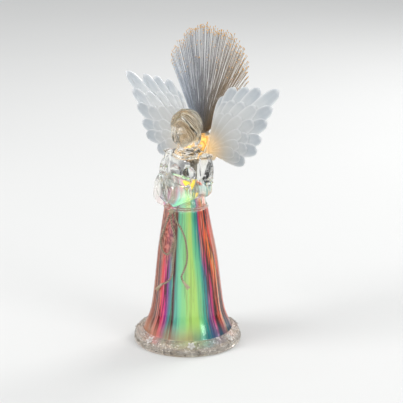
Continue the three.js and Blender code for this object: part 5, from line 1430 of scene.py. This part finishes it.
spray = bmesh.new()
spray.verts.layers.float.new("tone")
strand_count = 0
for column in range(COLUMNS):
    across = (2 * (column + 0.5)) / COLUMNS - 1
    lean_low = straight_value(FRONT_LEAN, abs(across))
    lean_high = straight_value(BACK_LEAN, abs(across))
    room = math.sqrt(1 - (0.93 * across) ** 2)
    rows = round(STRAND_ROWS * room)
    for row in range(rows):
        back = (2 * (row + 0.5 + (0.2 if column % 2 else -0.2))) / rows - 1
        lean = lean_low + (lean_high - lean_low) * (back + 1) / 2 + 0.01 * math.sin(5.1 * column + 2.9 * row)
        sideways = FIBRE_SPREAD * across + 0.014 * (1 - across * across) * math.sin(12.9 * column + 7.3 * row)
        root = Vector((0.93 * CROWN_HALF * across, FAN_DEPTH + 0.88 * CROWN_DEEP * back * room,
                       FAN_ROOT + CROWN_HEIGHT / 2))
        pick = (7 * column + 3 * row) % 11
        trim = TRIMS[pick] if row % 2 else 1 - 0.004 * pick
        rise = FIBRE_LENGTH * straight_value(FAN_SHARES, across) * trim - 0.5
        if row == 0 and pick % 2 == 0:
            rise *= 0.66 + 0.03 * pick
        run = Vector((sideways, lean, 1)) * rise
        bow = Vector((sideways, 0, -sideways * sideways)) * 2.2 * math.sin(3 * column + row)
        points = [root + run * t + bow * math.sin(math.pi * t) * 0.35 for t in STRAND_STEPS]
        strand = tube(points, [FIBRE_RADIUS] * 6 + [2.3 * FIBRE_RADIUS] * 2, 5)
        tone = strand.verts.layers.float.new("tone")
        for vert in strand.verts:
            vert[tone] = min(1, max(0, (across + 1) / 2 + 0.09 * math.sin(2.3 * column + 1.7 * row)))
        for face in strand.faces:
            if min((vert.co - points[-1]).length for vert in face.verts) < 0.6:
                face.material_index = 1
        add_into(spray, strand)
        strand_count += 1
crown_place = Matrix.LocRotScale(Vector((0, FAN_DEPTH, FAN_ROOT + CROWN_HEIGHT / 2)), None,
                                 Vector((CROWN_HALF, CROWN_DEEP, 1)))
crown = bmesh.new()
crown_tone = crown.verts.layers.float.new("tone")
bmesh.ops.create_cone(crown, cap_ends=True, segments=48, radius1=1, radius2=0.93, depth=CROWN_HEIGHT,
                      matrix=crown_place)
for vert in crown.verts:
    vert[crown_tone] = 0.7
add_into(spray, crown)
piece_of("light_fibres", spray, fibre_finish, ["fibre_spray"], more=[fibre_tip])
print("strands:", strand_count)

# %% [markdown]
# Below the crown the strands run together down to their lamp. The bundle follows a bent route,
# and its strands wind slightly round one another.

# %% Gathered bundle
FERRULE, LAMP_HEIGHT, LAMP_LENGTH = Vector((1.5, 8, 0)), 150.5, 8.6
BUNDLE_SHARES = [(0, 0), (0.18, 0), (0.38, 0.12), (0.58, 0.42), (0.74, 0.78), (0.88, 0.98), (1, 1)]
bundle_low = Vector((FERRULE.x, FERRULE.y, LAMP_HEIGHT + LAMP_LENGTH + SLIP))
bundle_rise = Vector((0, FAN_DEPTH, FAN_ROOT - 0.6)) - bundle_low
bundle_marks = [bundle_low + Vector((bundle_rise.x * back, bundle_rise.y * back, bundle_rise.z * up))
                for up, back in BUNDLE_SHARES]
bundle_line = smooth_path(bundle_marks, 2)
bundle = bmesh.new()
for ring, count in ((0, 1), (0.9, 6), (1.8, 12), (2.5, 16)):
    for i in range(count):
        points = []
        for step, point in enumerate(bundle_line):
            turn = 2 * math.pi * i / count + 0.03 * step
            points.append(point + Vector((ring * math.cos(turn), ring * math.sin(turn), 0)))
        add_into(bundle, tube(points, [0.44] * len(points), 7))
piece_of("gathered_fibres", bundle, bundle_finish, ["fibre_bundle"])

# %% [markdown]
# ## Lamps
#
# A lamp is a five-millimetre diode: an epoxy body with a domed end and a flange. The profile is
# spun, then the lamp is turned to its aim.

# %% Lamps
LAMP_RADIUS, FLANGE_RADIUS, FLANGE = 2.5, 2.9, 1
lamp_line = [(0, 0), (FLANGE_RADIUS - 0.15, 0), (FLANGE_RADIUS, 0.15), (FLANGE_RADIUS, FLANGE - 0.15),
             (FLANGE_RADIUS - 0.15, FLANGE), (LAMP_RADIUS, FLANGE)]
dome = [(LAMP_RADIUS * math.cos(angle), LAMP_LENGTH - LAMP_RADIUS + LAMP_RADIUS * math.sin(angle))
        for angle in (math.pi / 2 * i / 10 for i in range(11))]
lamp_line += [(LAMP_RADIUS, LAMP_LENGTH - LAMP_RADIUS - 2), *dome[:-1], (0, LAMP_LENGTH)]
CHEST_AIM = Vector((-9, -6, 7)).normalized()
CHEST_PLACE = Vector((0.16 * SHOULDER_HALF, -0.1 * BODICE_DEPTH, FIGURE_BOTTOM + 0.28 * BODICE_HEIGHT))
lamp_places = [("fibre_led", Vector((FERRULE.x, FERRULE.y, LAMP_HEIGHT)), Vector((0, 0, 1)), lamp_yellow),
               ("chest_led", CHEST_PLACE, CHEST_AIM, lamp_yellow)]
for i in range(3):
    node = "gown_led_%d" % (i + 1)
    low, high = (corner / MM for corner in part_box(node))
    foot = Vector(((low.x + high.x) / 2, (low.y + high.y) / 2, low.z))
    lamp_places.append((node, foot, Vector((0, 0, 1)), lamp_clear))
for node, place, aim, finish in lamp_places:
    lamp = turned(lamp_line, 32)
    seat = Matrix.LocRotScale(place, aim.to_track_quat("Z", "Y"), None)
    bmesh.ops.transform(lamp, matrix=seat, verts=lamp.verts)
    piece_of("lamp_" + node, lamp, finish, [node])

# %% [markdown]
# ## Small hardware
#
# The springs, leads, cells and the ferrule are plain turned or wound pieces. They get smooth
# forms here, with rolled edges on the cells and a two-wire cover on the leads.

# %% Ferrule and cells
ferrule_low, ferrule_high = (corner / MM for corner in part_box("fibre_ferrule"))
half_line = [(3.3, 0.4), (3.55, 0), (3.75, 0), (3.9, 0.2)]  # radius, and distance from the sleeve's end
sleeve_line = [(radius, ferrule_low.z + inwards) for radius, inwards in half_line]
sleeve_line += [(radius, ferrule_high.z - inwards) for radius, inwards in half_line[::-1]]
ferrule = turned(sleeve_line, 48, closed=True)
bmesh.ops.translate(ferrule, vec=FERRULE, verts=ferrule.verts)
piece_of("ferrule_sleeve", ferrule, holder_clear, ["fibre_ferrule"])

CELL_RADIUS, CELL_LENGTH = 5.25, 44.5
cell_line = [(0, 0), (3.6, 0), (3.75, 0.12), (4.6, 0.12), (5.0, 0.3), (CELL_RADIUS, 0.7), (CELL_RADIUS, 2.0),
             (5.2, 2.1), (5.2, 41.2), (CELL_RADIUS, 41.4), (CELL_RADIUS, 43.0), (4.9, 43.55), (3.9, 43.7),
             (3.2, 43.55), (2.1, 43.6), (1.9, 43.8), (1.9, 44.3), (1.7, CELL_LENGTH), (0, CELL_LENGTH)]
for i in range(3):
    node = "battery_cell_%d" % (i + 1)
    start, end = (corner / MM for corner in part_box(node))
    flip = i % 2 == 1
    cell = turned(cell_line, 48)
    turn = Matrix.Rotation(-math.pi / 2 if flip else math.pi / 2, 4, "Y")
    place = Matrix.Translation((end.x if flip else start.x, (start.y + end.y) / 2, (start.z + end.z) / 2))
    bmesh.ops.transform(cell, matrix=place @ turn, verts=cell.verts)
    piece_of("cell_%d" % (i + 1), cell, cell_jacket, [node])

# %% Springs and leads
SPRING_CURLS, SPRING_RADIUS, SPRING_TIP, SPRING_WIRE = 3, 2.6, 1.7, 0.5
for i in range(3):
    node = "contact_spring_%d" % (i + 1)
    start, end = (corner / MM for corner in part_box(node))
    away = -1 if i % 2 else 1
    foot = Vector((end.x if away < 0 else start.x, (start.y + end.y) / 2, (start.z + end.z) / 2))
    long = end.x - start.x - SPRING_WIRE
    points = []
    for step in range(24 * SPRING_CURLS + 1):
        share = step / (24 * SPRING_CURLS)
        radius = SPRING_RADIUS + (SPRING_TIP - SPRING_RADIUS) * share
        turn = 2 * math.pi * SPRING_CURLS * share
        points.append(foot + Vector((away * (SPRING_WIRE / 2 + long * share), radius * math.cos(turn),
                                     radius * math.sin(turn))))
    piece_of("spring_%d" % (i + 1), tube(points, [SPRING_WIRE / 2] * len(points), 10), contact_steel,
             [node])

LEADS = {
    "fibre_led_lead": [(-8, 4, 19.5), (-8, 4, 25.3), (-5.85, 4.8, 49.7), (-2.6, 6.4, 85.1), (1.5, 8, 120.5),
                       (1.5, 8, 136.4), (1.5, 8, LAMP_HEIGHT - SLIP)],
    "chest_led_lead": [(6.5, -3.9, 19.5), (6.5, -3.9, 25.3), (8.26, -2.35, 59.5), (8.26, -2.35, 109.6),
                       (7.46, -2.35, 134), (7.46, -2.35, 142.1), (7.46, -2.35, 147.6),
                       CHEST_PLACE - 3.4 * CHEST_AIM, CHEST_PLACE - 0.6 * CHEST_AIM],
}
for node, route in LEADS.items():
    line = smooth_path([Vector(point) for point in route], 1.2)
    pair = bmesh.new()
    for side in (-1, 1):
        add_into(pair, tube([point + Vector((0.36 * side, 0, 0)) for point in line], [0.42] * len(line), 10))
    piece_of("pair_" + node, pair, lead_cover, [node])

# %% [markdown]
# ## Finishes on the model's own solids
#
# The tray, door, switch, board and screws already have the right shape. They keep it and get
# their finish.

# %% Finish by node
FINISHES = {
    "led_holder": holder_clear, "battery_tray": tray_plastic, "battery_door": door_plastic,
    "switch_body": switch_black, "switch_knob": switch_black, "circuit_board": board_green,
    "controller_chip": chip_black, "resistor_1": resistor_body, "resistor_2": resistor_body,
    "contact_plate_positive": contact_steel, "contact_plate_negative": contact_steel,
    "contact_link_left": contact_steel, "contact_link_right": contact_steel,
}
for name in ("board_screw_1", "board_screw_2", "tray_screw_1", "tray_screw_2", "tray_screw_3"):
    FINISHES[name] = contact_steel
for name, finish in FINISHES.items():
    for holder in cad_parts[name].material_slots:
        holder.material = finish
plain = [name for name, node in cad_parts.items() if name not in FINISHES and not node.hide_render]
print("solids still without a finish:", plain)

# %% [markdown]
# ## Floor
#
# The floor is one large square of pale paper. It is part of the studio, not of the angel. With it
# the lesson is finished.

# %% Floor
FLOOR_HALF = 8
floor_shape = bmesh.new()
bmesh.ops.create_grid(floor_shape, x_segments=1, y_segments=1, size=FLOOR_HALF)
floor_mesh = bpy.data.meshes.new("studio_floor")
floor_shape.to_mesh(floor_mesh)
floor_shape.free()
floor = bpy.data.objects.new("studio_floor", floor_mesh)
bpy.context.scene.collection.objects.link(floor)
paper = finish_of("floor_paper", (0.74, 0.74, 0.73), drift=(0.7, 0.7, 0.69), drift_scale=3, bump=0,
                  Roughness=0.85)
floor_mesh.materials.append(paper)
print("the floor is", 2 * FLOOR_HALF, "m wide")
